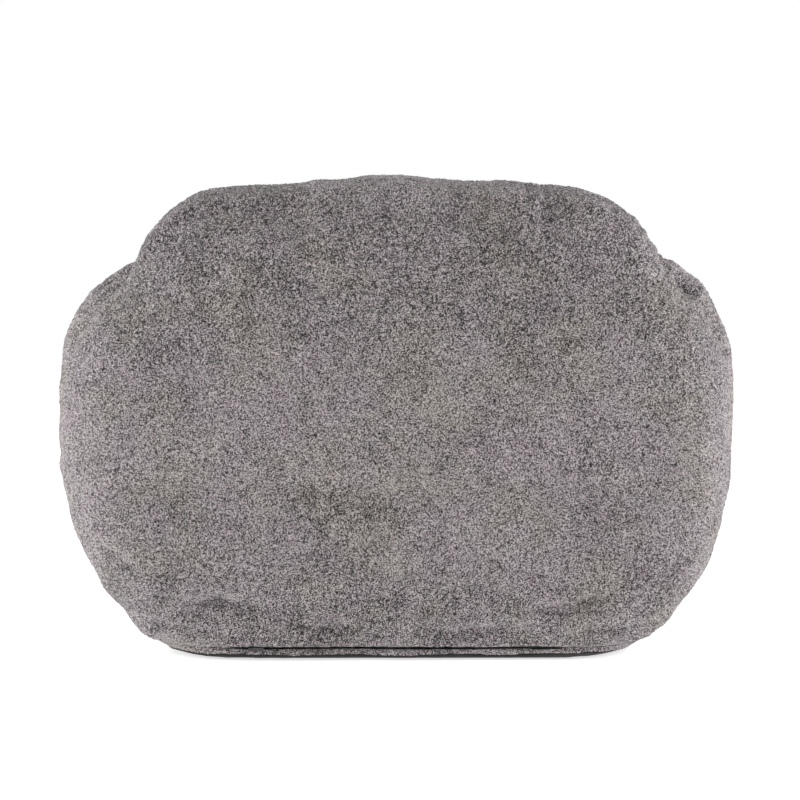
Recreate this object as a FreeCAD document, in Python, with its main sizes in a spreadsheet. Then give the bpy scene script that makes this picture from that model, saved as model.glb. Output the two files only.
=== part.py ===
# Oversized pile-fabric bean bag armchair: sewn cover, zipped inner liner and shredded foam fill.
#
# Frame: millimetres, +Z up, origin on the floor under the middle of the chair.  The sitter faces -Y.
# The chair is made of plump lobes (rear, backrest, seat and two arms).  Each lobe is drawn as a
# PartDesign body at several levels: the cover's outside and inside, the liner's outside and inside,
# and the foam.  Booleans between the levels give the cover panels, liner compartments and fills.
import FreeCAD, Part
import math
import os
import Sketcher
from FreeCAD import Placement, Rotation, Vector

SIZES = {
    # rear lobe: the slab seen from behind
    "rear_y": 480,
    "rear_top_z": 835,
    "rear_half_width": 594,
    "rear_low_radius": 410,
    "rear_top_radius": 365,
    "rear_edge_radius": 84,
    "rear_front_y": 345,
    "hidden_depth": 100,
    # backrest lobe: the leaning front of the slab
    "back_half_width": 452,
    "back_top_z": 826,
    "back_top_radius": 225,
    "back_low_radius": 320,
    "back_edge_radius": 80,
    "back_face_y": 175,
    "back_lean": 9,
    "back_overlap": 45,
    # arms, which slope down towards the front
    "arm_front_y": -480,
    "arm_inner_x": 330,
    "arm_rear_half_width": 622,
    "arm_front_half_width": 600,
    "arm_rear_top_z": 720,
    "arm_front_top_z": 590,
    "arm_rear_crown": 180,
    "arm_front_crown": 150,
    "arm_inner_crown": 100,
    "arm_low_radius": 190,
    "arm_edge_radius": 72,
    "arm_seam_x": 470,
    # seat
    "seat_front_y": -470,
    "seat_rear_y": 300,
    "seat_height": 385,
    "seat_front_radius": 110,
    "seat_seam_z": 292,
    # fabric, clearances and foam
    "cover_thickness": 12,
    "liner_inset": 20,
    "liner_thickness": 1.5,
    "fill_inset": 22,
    "lobe_gap": 1,
    "panel_gap": 0.6,
    "junction_front_y": 300,
    "junction_top_z": 650,
    # base cloth on the floor
    "base_thickness": 2.5,
    "base_half_width": 405,
    "base_front_y": -425,
    "base_rear_y": 464,
    "base_corner_radius": 150,
    "cover_floor_z": 3,
    "liner_floor_z": 4,
    # concealed zip in the cover's rear hem, and the liner's own zip
    "zip_half_length": 270,
    "cover_slit": 5,
    "cover_zip_y": 464.7,
    "cover_zip_z": 21.5,
    "liner_slit": 11,
    "liner_zip_y": 461.8,
    "liner_zip_z": 120,
    "tape_thickness": 0.8,
    "tape_width": 20,
    "tape_fold": 7.5,
    "coil_radius": 1,
    "coil_gap": 1.2,
    "slider_length": 10,
    "slider_width": 9,
    "slider_plate": 1.1,
    "slider_opening": 2.9,
    "slider_post_length": 3,
    "slider_post_width": 0.8,
    "slider_rest_x": 257,
    "stop_length": 3,
    "stop_width": 6,
    "neck_radius": 3,
    "neck_thickness": 2.4,
    "pull_pin_y": 484,
    "pull_pin_radius": 0.8,
    "pull_pin_clearance": 0.05,
    "pull_length": 24,
    "pull_width": 5.2,
    "pull_thickness": 1.4,
    "pull_fork_gap": 2.8,
    "pull_fork_depth": 3.4,
}

doc = FreeCAD.newDocument("bean_bag_chair")
sheet = doc.addObject("Spreadsheet::Sheet", "Sizes")
for row, (alias, value) in enumerate(SIZES.items(), start=1):
    sheet.set(f"A{row}", alias)
    sheet.set(f"B{row}", str(value))
    sheet.setAlias(f"B{row}", alias)
doc.recompute()

NODES = {}


def cell(alias):
    """Expression text that reads one cell of the sheet."""
    return f"Sizes.{alias}"


def number(expression):
    """The value of an expression, as a plain float."""
    return float(sheet.evalExpression(expression))


def origin_plane(body, role):
    """One of the body's own origin planes, found by its role."""
    for feature in body.Origin.OriginFeatures:
        if feature.Role == role:
            return feature
    raise RuntimeError(f"no origin plane {role}")


def new_sketch(body, name, role, offset):
    """A sketch on an origin plane, moved along its normal by an expression."""
    sketch = body.newObject("Sketcher::SketchObject", name)
    sketch.AttachmentSupport = [(origin_plane(body, role), "")]
    sketch.MapMode = "FlatFace"
    sketch.setExpression("AttachmentOffset.Base.z", offset)
    return sketch


def bind(sketch, constraint, name, expression):
    """Add a dimension to the sketch and drive it from the sheet."""
    index = sketch.addConstraint(constraint)
    sketch.renameConstraint(index, name)
    sketch.setExpression(f"Constraints.{name}", expression)


def corner_outline(sketch, left, right, bottom, top, radii):
    """Draw a four-sided outline whose corners are arcs, or sharp where the radius is None.

    radii holds expressions for the low right, top right, top left and low left corners.
    """
    x_left, x_right, z_bottom, z_top = (number(side) for side in (left, right, bottom, top))
    corners = ((x_right, z_bottom, 1, -1), (x_right, z_top, 1, 1),
               (x_left, z_top, -1, 1), (x_left, z_bottom, -1, -1))
    entries, exits, arcs = [], [], []
    for index, (corner_x, corner_z, side_x, side_z) in enumerate(corners):
        if radii[index] is None:
            entries.append(Vector(corner_x, corner_z, 0))
            exits.append(Vector(corner_x, corner_z, 0))
            arcs.append(None)
            continue
        radius = number(radii[index])
        centre = Vector(corner_x - side_x * radius, corner_z - side_z * radius, 0)
        start = math.radians(90 * index - 90)
        circle = Part.Circle(centre, Vector(0, 0, 1), radius)
        arc = Part.ArcOfCircle(circle, start, start + math.pi / 2)
        entries.append(arc.StartPoint)
        exits.append(arc.EndPoint)
        arcs.append(sketch.addGeometry(arc))
    sides = []
    for index in range(4):
        following = (index + 1) % 4
        sides.append(sketch.addGeometry(Part.LineSegment(exits[index], entries[following])))
        sketch.addConstraint(Sketcher.Constraint("Horizontal" if index % 2 else "Vertical", sides[-1]))
    for index in range(4):
        before, after = sides[index - 1], sides[index]
        if arcs[index] is None:
            sketch.addConstraint(Sketcher.Constraint("Coincident", before, 2, after, 1))
            continue
        sketch.addConstraint(Sketcher.Constraint("Tangent", before, 2, arcs[index], 1))
        sketch.addConstraint(Sketcher.Constraint("Tangent", arcs[index], 2, after, 1))
        dimension = Sketcher.Constraint("Radius", arcs[index], number(radii[index]))
        bind(sketch, dimension, f"radius_{index}", radii[index])
    for index, (name, direction, value, expression) in enumerate((
            ("right", "DistanceX", x_right, right), ("top", "DistanceY", z_top, top),
            ("left", "DistanceX", x_left, left), ("bottom", "DistanceY", z_bottom, bottom))):
        dimension = Sketcher.Constraint(direction, -1, 1, sides[index], 1, value)
        bind(sketch, dimension, name, expression)


def pad(body, sketch, length, symmetric=False, reverse=False):
    """Pad a sketch by an expression, along its normal or to both sides."""
    feature = body.newObject("PartDesign::Pad", f"{sketch.Name}_pad")
    feature.Profile = sketch
    feature.setExpression("Length", length)
    if symmetric:
        feature.SideType = "Symmetric"
    feature.Reversed = reverse
    doc.recompute()
    return feature


def edges_on(feature, axis, value):
    """Names of the edges that lie in the plane axis = value."""
    names = []
    for index, edge in enumerate(feature.Shape.Edges, start=1):
        box = edge.BoundBox
        low, high = getattr(box, f"{axis}Min"), getattr(box, f"{axis}Max")
        if abs(low - value) < 0.01 and abs(high - value) < 0.01:
            names.append(f"Edge{index}")
    return names


def fillet(body, base, edges, radius):
    """Round the named edges by an expression."""
    feature = body.newObject("PartDesign::Fillet", f"{base.Name}_fillet")
    feature.Base = (base, edges)
    feature.setExpression("Radius", radius)
    doc.recompute()
    return feature


def rear_lobe(level, inset, front_y):
    """The slab seen from behind: a rounded outline with a soft rear edge."""
    body = doc.addObject("PartDesign::Body", f"rear_lobe_{level}")
    side = f"{cell('rear_half_width')} - {inset}"
    low = f"{cell('rear_low_radius')} - {inset}"
    high = f"{cell('rear_top_radius')} - {inset}"
    rear_y = f"{cell('rear_y')} - {inset}"
    sketch = new_sketch(body, f"rear_outline_{level}", "XZ_Plane", f"-({rear_y})")
    bottom = f"{inset} - {cell('hidden_depth')}"
    top = f"{cell('rear_top_z')} - {inset}"
    corner_outline(sketch, f"-({side})", side, bottom, top, (low, high, high, low))
    slab = pad(body, sketch, f"{rear_y} - ({front_y})")
    fillet(body, slab, edges_on(slab, "Y", number(rear_y)), f"{cell('rear_edge_radius')} - {inset}")
    return body


def back_lobe(level, inset):
    """The backrest: a rounded outline whose front face leans back."""
    body = doc.addObject("PartDesign::Body", f"back_lobe_{level}")
    side = f"{cell('back_half_width')} - {inset}"
    radius = f"{cell('back_top_radius')} - {inset}"
    rear_y = f"{cell('rear_front_y')} + {cell('back_overlap')} - {inset}"
    sketch = new_sketch(body, f"back_outline_{level}", "XZ_Plane", f"-({rear_y})")
    bottom = f"{inset} - {cell('hidden_depth')}"
    top = f"{cell('back_top_z')} - {inset}"
    low = f"{cell('back_low_radius')} - {inset}"
    corner_outline(sketch, f"-({side})", side, bottom, top, (low, radius, radius, low))
    block = pad(body, sketch, f"{rear_y} + {cell('back_face_y')}")
    lean = new_sketch(body, f"back_lean_{level}", "YZ_Plane", "0")
    low_z, high_z, front_y = -200, 1000, -400
    angle = number(cell("back_lean"))
    shift = f"{inset} / cos({cell('back_lean')} * 1 deg)"
    drop = f"({cell('seat_height')} - {low_z}) * tan({cell('back_lean')} * 1 deg)"
    start = f"{cell('back_face_y')} + {shift} - {drop}"
    start_y = number(start)
    end_y = start_y + (high_z - low_z) * math.tan(math.radians(angle))
    corners = [Vector(start_y, low_z, 0), Vector(end_y, high_z, 0),
               Vector(front_y, high_z, 0), Vector(front_y, low_z, 0)]
    for index, corner in enumerate(corners):
        lean.addGeometry(Part.LineSegment(corner, corners[(index + 1) % 4]))
    for index in range(4):
        lean.addConstraint(Sketcher.Constraint("Coincident", index, 2, (index + 1) % 4, 1))
    lean.addConstraint(Sketcher.Constraint("Horizontal", 1))
    lean.addConstraint(Sketcher.Constraint("Vertical", 2))
    lean.addConstraint(Sketcher.Constraint("Horizontal", 3))
    lean.addConstraint(Sketcher.Constraint("DistanceY", -1, 1, 0, 1, low_z))
    lean.addConstraint(Sketcher.Constraint("DistanceY", -1, 1, 0, 2, high_z))
    lean.addConstraint(Sketcher.Constraint("DistanceX", -1, 1, 2, 1, front_y))
    slope = Sketcher.Constraint("Angle", 0, math.radians(90 - angle))
    bind(lean, slope, "slope", f"(90 - {cell('back_lean')}) * 1 deg")
    bind(lean, Sketcher.Constraint("DistanceX", -1, 1, 0, 1, start_y), "start", start)
    before = block.Shape.Volume
    pocket = body.newObject("PartDesign::Pocket", f"back_face_{level}")
    pocket.Profile = lean
    pocket.Type = "ThroughAll"
    pocket.SideType = "Symmetric"
    doc.recompute()
    if not pocket.Shape.Volume < 0.95 * before:
        raise RuntimeError("the leaning face cut nothing from the backrest")
    face = leaning_face(pocket.Shape)
    front = [f"Edge{index}" for index, edge in enumerate(pocket.Shape.Edges, start=1)
             if any(edge.isSame(other) for other in face.Edges)]
    fillet(body, pocket, front, f"{cell('back_edge_radius')} - {inset}")
    return body


def leaning_face(shape):
    """The largest face whose normal points forwards."""
    forward = [face for face in shape.Faces if face.normalAt(0, 0).y < -0.9]
    return max(forward, key=lambda face: face.Area)


def arm_lobe(level, inset):
    """The arm on the +X side, lofted from a tall rear section to a lower front one."""
    body = doc.addObject("PartDesign::Body", f"arm_lobe_{level}")
    inner = f"{cell('arm_inner_x')} + {inset}"
    low = f"{cell('arm_low_radius')} - {inset}"
    inner_crown = f"{cell('arm_inner_crown')} - {inset}"
    sections = []
    ends = (("rear", f"{cell('rear_front_y')} - {cell('lobe_gap')} - {inset}"),
            ("front", f"{cell('arm_front_y')} + {inset}"))
    for end, place_y in ends:
        sketch = new_sketch(body, f"arm_{end}_{level}", "XZ_Plane", f"-({place_y})")
        outer = f"{cell(f'arm_{end}_half_width')} - {inset}"
        top = f"{cell(f'arm_{end}_top_z')} - {inset}"
        outer_crown = f"{cell(f'arm_{end}_crown')} - {inset}"
        corner_outline(sketch, inner, outer, inset, top,
                       (low, outer_crown, inner_crown, None))
        sections.append(sketch)
    loft = body.newObject("PartDesign::AdditiveLoft", f"arm_loft_{level}")
    loft.Profile = sections[0]
    loft.Sections = [sections[1]]
    loft.Ruled = True
    doc.recompute()
    rims = [name for end in ends for name in edges_on(loft, "Y", number(end[1]))]
    fillet(body, loft, rims, f"{cell('arm_edge_radius')} - {inset}")
    return body


def seat_lobe(level, inset, half_width):
    """The seat cushion: a side profile with a round front edge, as wide as the gap between the arms."""
    body = doc.addObject("PartDesign::Body", f"seat_lobe_{level}")
    sketch = new_sketch(body, f"seat_profile_{level}", "YZ_Plane", "0")
    corner_outline(sketch, f"{cell('seat_front_y')} + {inset}", cell("seat_rear_y"),
                   f"-{cell('hidden_depth')}", f"{cell('seat_height')} - {inset}",
                   (None, None, f"{cell('seat_front_radius')} - {inset}", None))
    pad(body, sketch, f"2 * ({half_width})", symmetric=True)
    return body


def block(name, x_range, y_range, z_range):
    """A Part box between two expressions along each axis."""
    box = doc.addObject("Part::Box", name)
    for axis, size, (low, high) in zip("xyz", ("Length", "Width", "Height"),
                                       (x_range, y_range, z_range)):
        box.setExpression(f"Placement.Base.{axis}", low)
        box.setExpression(size, f"({high}) - ({low})")
    return box


def fuse(name, *shapes):
    """Union of objects."""
    union = doc.addObject("Part::MultiFuse", name)
    union.Shapes = list(shapes)
    return union


def cut(name, base, *tools):
    """Base with every tool taken away."""
    tool = tools[0] if len(tools) == 1 else fuse(f"{name}_tools", *tools)
    difference = doc.addObject("Part::Cut", name)
    difference.Base = base
    difference.Tool = tool
    return difference


def common(name, base, tool):
    """What two objects share."""
    shared = doc.addObject("Part::Common", name)
    shared.Base = base
    shared.Tool = tool
    return shared


def mirrored(name, source):
    """The same piece on the -X side."""
    mirror = doc.addObject("Part::Mirroring", name)
    mirror.Source = source
    mirror.Normal = Vector(1, 0, 0)
    return mirror


def keep(node, shape_object):
    """Make an object one of the part's pieces, named for its file."""
    shape_object.Label = node
    NODES[node] = shape_object
    return shape_object


FAR = "900"
NEAR = "-900"
EVERYWHERE = (NEAR, FAR)


def above(name, floor):
    """All the space over a level."""
    return block(name, EVERYWHERE, EVERYWHERE, (floor, FAR))


def lobes():
    """Every lobe at every level that the panels, liners and fills are cut from."""
    thickness = cell("cover_thickness")
    liner = cell("liner_inset")
    liner_in = f"({liner} + {cell('liner_thickness')})"
    fill = cell("fill_inset")
    gap = cell("lobe_gap")
    wall = f"({gap} + {cell('liner_thickness')})"
    inner_gap = f"({gap} + {fill} - {liner})"
    seam = cell("rear_front_y")
    inner_x = cell("arm_inner_x")
    rim_y = f"{seam} + {thickness}"
    notch_z = cell("junction_top_z")
    made = {}
    levels = {
        "cover_out": ("0", seam, gap, f"{inner_x} - {gap}"),
        "cover_in": (thickness, f"{seam} + {thickness}", None, f"{inner_x} + {thickness}"),
        "liner_out": (liner, f"{seam} + {gap}", gap, f"{inner_x} - {gap}"),
        "liner_in": (liner_in, f"{seam} + {wall}", wall, f"{inner_x} - {wall}"),
        "fill": (fill, f"{seam} + {inner_gap}", inner_gap, f"{inner_x} - {inner_gap}"),
    }
    for level, (inset, front_y, clearance, seat_half) in levels.items():
        rear = rear_lobe(level, inset, front_y)
        if level not in ("cover_out", "cover_in"):
            beside_rim = block(f"beside_rim_{level}", EVERYWHERE, (NEAR, f"{rim_y} + {clearance}"),
                               (f"{notch_z} - {clearance}", FAR))
            rear = cut(f"rear_trimmed_{level}", rear, beside_rim)
        back = back_lobe(level, inset)
        arm = arm_lobe(level, inset)
        seat = seat_lobe(level, inset, seat_half)
        made[level, "back"] = fuse(f"back_group_{level}", rear, back)
        made[level, "arm_whole"] = arm
        if clearance is not None:
            around_back = back_lobe(f"{level}_clear", f"-{clearance}")
            made[level, "arm"] = cut(f"arm_group_{level}", arm, around_back)
            made[level, "seat"] = cut(f"seat_group_{level}", seat, around_back)
        else:
            made[level, "arm"] = arm
            made[level, "seat"] = seat
    return made


def make_cover(made):
    """The outer cover, panel by panel."""
    seam = cell("rear_front_y")
    thickness = cell("cover_thickness")
    half_gap = f"{cell('panel_gap')} / 2"
    floor = cell("cover_floor_z")
    zip_z = cell("cover_zip_z")
    half_slit = f"{cell('cover_slit')} / 2"
    zip_end = f"({cell('zip_half_length')} + {cell('stop_length')} + 2)"
    whole_arm = made["cover_out", "arm_whole"]
    other_arm = mirrored("other_arm_whole", whole_arm)

    core = rear_lobe("junction", thickness, cell("junction_front_y"))
    below_notch = block("junction_height", EVERYWHERE, EVERYWHERE, (NEAR, cell("junction_top_z")))
    junction = common("junction", core, below_notch)

    shell = cut("back_shell", made["cover_out", "back"], made["cover_in", "back"], junction)
    panel_low = f"{zip_z} + {half_slit}"
    behind = block("behind_seam", EVERYWHERE, (seam, FAR), (panel_low, FAR))
    keep("rear_panel", common("rear_panel_shape", shell, behind))

    hem_zone = block("hem_zone", EVERYWHERE, (seam, FAR),
                     (floor, f"{panel_low} - {cell('panel_gap')}"))
    slit = block("cover_slit_zone", (f"-{zip_end}", zip_end), (seam, FAR),
                 (f"{zip_z} - {half_slit}", FAR))
    hem = common("hem_whole", shell, hem_zone)
    tape_seat = block("tape_seat", (f"-{zip_end}", zip_end), (NEAR, f"{cell('rear_y')} - {thickness}"),
                      (NEAR, zip_z))
    keep("rear_hem_band", cut("rear_hem_shape", hem, slit, tape_seat))

    front_zone = block("front_zone", EVERYWHERE, (NEAR, f"{seam} - {cell('panel_gap')}"), (floor, FAR))
    seat_zone = block("seat_zone", EVERYWHERE, EVERYWHERE,
                      (NEAR, f"{cell('seat_height')} + {cell('lobe_gap')}"))
    front_skin = common("back_front_skin", shell, front_zone)
    keep("backrest_panel", cut("backrest_shape", front_skin, whole_arm, other_arm, seat_zone))

    inner_x = cell("arm_inner_x")
    arm_seam = cell("arm_seam_x")
    base_hole = block("arm_base_hole",
                      (f"{inner_x} + {thickness}", f"{inner_x} + {cell('arm_edge_radius')}"),
                      (f"{cell('arm_front_y')} + {cell('arm_edge_radius')}", FAR),
                      (NEAR, f"2 * {thickness}"))
    arm_shell = cut("arm_shell", made["cover_out", "arm"], made["cover_in", "arm"], junction, base_hole)
    outer_zone = block("arm_outer_zone", (f"{arm_seam} + {half_gap}", FAR), EVERYWHERE, (floor, FAR))
    inner_zone = block("arm_inner_zone", (NEAR, f"{arm_seam} - {half_gap}"), EVERYWHERE, (floor, FAR))
    hidden_wall = block("arm_hidden_wall", (NEAR, f"{inner_x} + {thickness} + 1"),
                        (f"{cell('seat_front_y')} + {cell('seat_front_radius')}", FAR),
                        (NEAR, f"{cell('seat_height')} - {cell('lobe_gap')}"))
    outer = common("arm_outer_shape", arm_shell, outer_zone)
    inner = cut("arm_inner_shape", common("arm_inner_whole", arm_shell, inner_zone), hidden_wall)
    keep("left_arm_outer_panel", outer)
    keep("left_arm_inner_panel", inner)
    keep("right_arm_outer_panel", mirrored("right_arm_outer_shape", outer))
    keep("right_arm_inner_panel", mirrored("right_arm_inner_shape", inner))

    seat_shell = cut("seat_shell", made["cover_out", "seat"], made["cover_in", "seat"])
    seat_seam = cell("seat_seam_z")
    high = above("seat_top_zone", f"{seat_seam} + {half_gap}")
    low = block("seat_front_zone", EVERYWHERE, EVERYWHERE, (floor, f"{seat_seam} - {half_gap}"))
    keep("seat_panel", common("seat_panel_shape", seat_shell, high))
    keep("front_panel", common("front_panel_shape", seat_shell, low))


def make_base():
    """The hard-wearing base cloth, flat on the floor."""
    body = doc.addObject("PartDesign::Body", "base_cloth")
    sketch = new_sketch(body, "base_outline", "XY_Plane", "0")
    half = cell("base_half_width")
    radius = cell("base_corner_radius")
    corner_outline(sketch, f"-{half}", half, cell("base_front_y"), cell("base_rear_y"), (radius,) * 4)
    pad(body, sketch, cell("base_thickness"))
    keep("base_panel", body)


def make_liner_and_fill(made):
    """Four zipped-in compartments, each a closed cloth bag full of shredded foam."""
    floor = cell("liner_floor_z")
    inner_floor = f"{floor} + {cell('liner_thickness')}"
    fill_floor = f"{floor} + {cell('fill_inset')} - {cell('liner_inset')}"
    outside = above("liner_space", floor)
    inside = above("liner_inner_space", inner_floor)
    foam_space = above("fill_space", fill_floor)
    zip_z = cell("liner_zip_z")
    half_slit = f"{cell('liner_slit')} / 2"
    zip_end = f"({cell('zip_half_length')} + {cell('stop_length')} + 2)"
    slit = block("liner_slit_zone", (f"-{zip_end}", zip_end), (f"{cell('rear_front_y')} + 50", FAR),
                 (f"{zip_z} - {half_slit}", f"{zip_z} + {half_slit}"))
    for lobe in ("back", "seat", "arm"):
        bag = common(f"{lobe}_bag_outside", made["liner_out", lobe], outside)
        hollow = common(f"{lobe}_bag_inside", made["liner_in", lobe], inside)
        tools = (hollow, slit) if lobe == "back" else (hollow,)
        skin = cut(f"{lobe}_liner_shape", bag, *tools)
        foam = common(f"{lobe}_fill_shape", made["fill", lobe], foam_space)
        if lobe == "arm":
            keep("left_arm_liner", skin)
            keep("left_arm_fill", foam)
            keep("right_arm_liner", mirrored("right_arm_liner_shape", skin))
            keep("right_arm_fill", mirrored("right_arm_fill_shape", foam))
        else:
            keep(f"{lobe}_liner", skin)
            keep(f"{lobe}_fill", foam)


def tape_body(name, mid_y, mid_z, side, sewn_y):
    """One zip tape: a thin edge beside the coil and a thicker folded part sewn to the cloth.

    side is 1 above the coil and -1 below it; sewn_y is the face of the cloth that it is sewn to.
    """
    body = doc.addObject("PartDesign::Body", name)
    sketch = new_sketch(body, f"{name}_profile", "YZ_Plane", "0")
    toward = 1 if number(sewn_y) > number(mid_y) else -1
    half = f"{toward} * {cell('tape_thickness')} / 2"
    coil_edge = f"({cell('coil_gap')} / 2 + 2 * {cell('coil_radius')} + 0.1)"
    levels = {"edge": coil_edge, "fold": cell("tape_fold"), "end": cell("tape_width")}
    places = {key: f"{mid_z} + {side} * {value}" for key, value in levels.items()}
    free_y = f"{mid_y} - {half}"
    thin_y = f"{mid_y} + {half}"
    outline = [(free_y, places["edge"]), (thin_y, places["edge"]), (thin_y, places["fold"]),
               (sewn_y, places["fold"]), (sewn_y, places["end"]), (free_y, places["end"])]
    points = [Vector(number(y), number(z), 0) for y, z in outline]
    for index, point in enumerate(points):
        sketch.addGeometry(Part.LineSegment(point, points[(index + 1) % 6]))
    for index in range(6):
        sketch.addConstraint(Sketcher.Constraint("Coincident", index, 2, (index + 1) % 6, 1))
        sketch.addConstraint(Sketcher.Constraint("Vertical" if index % 2 else "Horizontal", index))
    for index, (name_y, name_z) in ((0, ("front", "edge")), (2, ("thin", "fold")), (4, ("sewn", "end"))):
        y_text, z_text = outline[index]
        point = points[index]
        bind(sketch, Sketcher.Constraint("DistanceX", -1, 1, index, 1, point.x), name_y, y_text)
        bind(sketch, Sketcher.Constraint("DistanceY", -1, 1, index, 1, point.y), name_z, z_text)
    pad(body, sketch, f"2 * {cell('zip_half_length')}", symmetric=True)
    return body


def coil_body(name, mid_y, mid_z, side):
    """One side of the zip chain, as the cylinder that its monofilament coil fills."""
    coil = doc.addObject("Part::Cylinder", name)
    coil.setExpression("Radius", cell("coil_radius"))
    coil.setExpression("Height", f"2 * {cell('zip_half_length')}")
    coil.Placement = Placement(Vector(0, 0, 0), Rotation(Vector(0, 1, 0), 90))
    coil.setExpression("Placement.Base.x", f"-{cell('zip_half_length')}")
    coil.setExpression("Placement.Base.y", mid_y)
    offset = f"({cell('coil_gap')} / 2 + {cell('coil_radius')})"
    coil.setExpression("Placement.Base.z", f"{mid_z} + {side} * {offset}")
    return coil


def stop_body(name, mid_y, mid_z, side):
    """The crimped stop at one end of the chain."""
    near = f"{side} * {cell('zip_half_length')}"
    far = f"{side} * ({cell('zip_half_length')} + {cell('stop_length')})"
    ends = (near, far) if side > 0 else (far, near)
    half = f"{cell('stop_width')} / 2"
    reach = f"1.2 * {cell('coil_radius')}"
    return block(name, ends, (f"{mid_y} - {reach}", f"{mid_y} + {reach}"),
                 (f"{mid_z} - {half}", f"{mid_z} + {half}"))


def slider_body(name, mid_y, mid_z, extras=()):
    """The slider: two plates held apart by a post between the two coils."""
    middle = cell("slider_rest_x")
    half = f"{cell('slider_length')} / 2"
    half_width = f"{cell('slider_width')} / 2"
    inner = f"{cell('slider_opening')} / 2"
    outer = f"({inner} + {cell('slider_plate')})"
    along = (f"{middle} - {half}", f"{middle} + {half}")
    across = (f"{mid_z} - {half_width}", f"{mid_z} + {half_width}")
    front = block(f"{name}_front_plate", along, (f"{mid_y} + {inner}", f"{mid_y} + {outer}"), across)
    back = block(f"{name}_back_plate", along, (f"{mid_y} - {outer}", f"{mid_y} - {inner}"), across)
    post_half = f"{cell('slider_post_width')} / 2"
    post_half_length = f"{cell('slider_post_length')} / 2"
    post = block(f"{name}_post",
                 (f"{middle} - {post_half_length}", f"{middle} + {post_half_length}"),
                 (f"{mid_y} - {outer}", f"{mid_y} + {outer}"),
                 (f"{mid_z} - {post_half}", f"{mid_z} + {post_half}"))
    return fuse(name, front, back, post, *extras)


def upright_cylinder(name, radius, x, y, mid_z, height):
    """A cylinder along Z, centred on a level."""
    cylinder = doc.addObject("Part::Cylinder", name)
    cylinder.setExpression("Radius", radius)
    cylinder.setExpression("Height", height)
    cylinder.setExpression("Placement.Base.x", x)
    cylinder.setExpression("Placement.Base.y", y)
    cylinder.setExpression("Placement.Base.z", f"{mid_z} - ({height}) / 2")
    return cylinder


def make_cover_slider_and_pull(mid_y, mid_z):
    """The cover's slider has a neck through the slit, and its pull tab turns on a pin in the neck."""
    middle = cell("slider_rest_x")
    pin_y = cell("pull_pin_y")
    neck_radius = cell("neck_radius")
    neck_thickness = cell("neck_thickness")
    half_neck = f"{neck_thickness} / 2"
    root_y = f"{mid_y} + {cell('slider_opening')} / 2"
    stem = block("neck_stem", (f"{middle} - {neck_radius}", f"{middle} + {neck_radius}"),
                 (root_y, pin_y), (f"{mid_z} - {half_neck}", f"{mid_z} + {half_neck}"))
    eye = upright_cylinder("neck_eye", neck_radius, middle, pin_y, mid_z, neck_thickness)
    body = slider_body("cover_slider_whole", mid_y, mid_z, (stem, eye))
    hole_radius = f"{cell('pull_pin_radius')} + {cell('pull_pin_clearance')}"
    hole = upright_cylinder("neck_hole", hole_radius, middle, pin_y, mid_z, f"2 * {neck_thickness}")
    keep("cover_zip_slider", cut("cover_slider_shape", body, hole))

    width = cell("pull_width")
    half_width = f"{width} / 2"
    ring = f"{cell('neck_radius')} * 0.8"
    half_thickness = f"{cell('pull_thickness')} / 2"
    along_y = (f"{pin_y} - {half_thickness}", f"{pin_y} + {half_thickness}")
    along_z = (f"{mid_z} - {half_width}", f"{mid_z} + {half_width}")
    tab = block("pull_tab_blank", (f"{middle} - {cell('pull_length')}", middle), along_y, along_z)
    boss = upright_cylinder("pull_boss", ring, middle, pin_y, mid_z, width)
    fork_half = f"{cell('pull_fork_gap')} / 2"
    depth = cell("pull_fork_depth")
    fork = block("pull_fork_space", (f"{middle} - {depth}", f"{middle} + 2 * {depth}"),
                 (f"{pin_y} - {depth}", f"{pin_y} + {depth}"),
                 (f"{mid_z} - {fork_half}", f"{mid_z} + {fork_half}"))
    pin = upright_cylinder("pull_pin", cell("pull_pin_radius"), middle, pin_y, mid_z, width)
    forked = cut("pull_forked", fuse("pull_blank", tab, boss), fork)
    keep("cover_zip_pull", fuse("cover_pull_shape", forked, pin))


def make_zips():
    """The cover's concealed zip and the liner's plainer one."""
    liner_face = f"{cell('rear_y')} - {cell('liner_inset')}"
    cover_face = f"{cell('rear_y')} - {cell('cover_thickness')}"
    for zip_name, sewn_y in (("cover", cover_face), ("liner", liner_face)):
        mid_y, mid_z = cell(f"{zip_name}_zip_y"), cell(f"{zip_name}_zip_z")
        for place, side in (("upper", 1), ("lower", -1)):
            keep(f"{zip_name}_zip_{place}_tape",
                 tape_body(f"{zip_name}_{place}_tape", mid_y, mid_z, side, sewn_y))
            keep(f"{zip_name}_zip_{place}_coil",
                 coil_body(f"{zip_name}_{place}_coil", mid_y, mid_z, side))
        for place, side in (("top", 1), ("bottom", -1)):
            keep(f"{zip_name}_zip_{place}_stop",
                 stop_body(f"{zip_name}_{place}_stop", mid_y, mid_z, side))
    keep("liner_zip_slider", slider_body("liner_slider", cell("liner_zip_y"), cell("liner_zip_z")))
    make_cover_slider_and_pull(cell("cover_zip_y"), cell("cover_zip_z"))


def check_and_export():
    """Stop on any failed object, then write one file for each piece."""
    doc.recompute()
    for item in doc.Objects:
        if "Invalid" in item.State or "Error" in item.State:
            raise RuntimeError(f"{item.Name} failed: {item.State}")
    os.makedirs("parts", exist_ok=True)
    for node, item in NODES.items():
        shape = item.Shape
        if shape.isNull() or not shape.isValid() or shape.Volume <= 0:
            raise RuntimeError(f"{node} has no valid shape")
        print(f"{node}: {len(shape.Solids)} solid(s), {shape.Volume / 1000:.1f} cm3")
        shape.exportStep(f"parts/{node}.step")


LOBES = lobes()
make_cover(LOBES)
make_base()
make_liner_and_fill(LOBES)
make_zips()
check_and_export()
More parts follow.
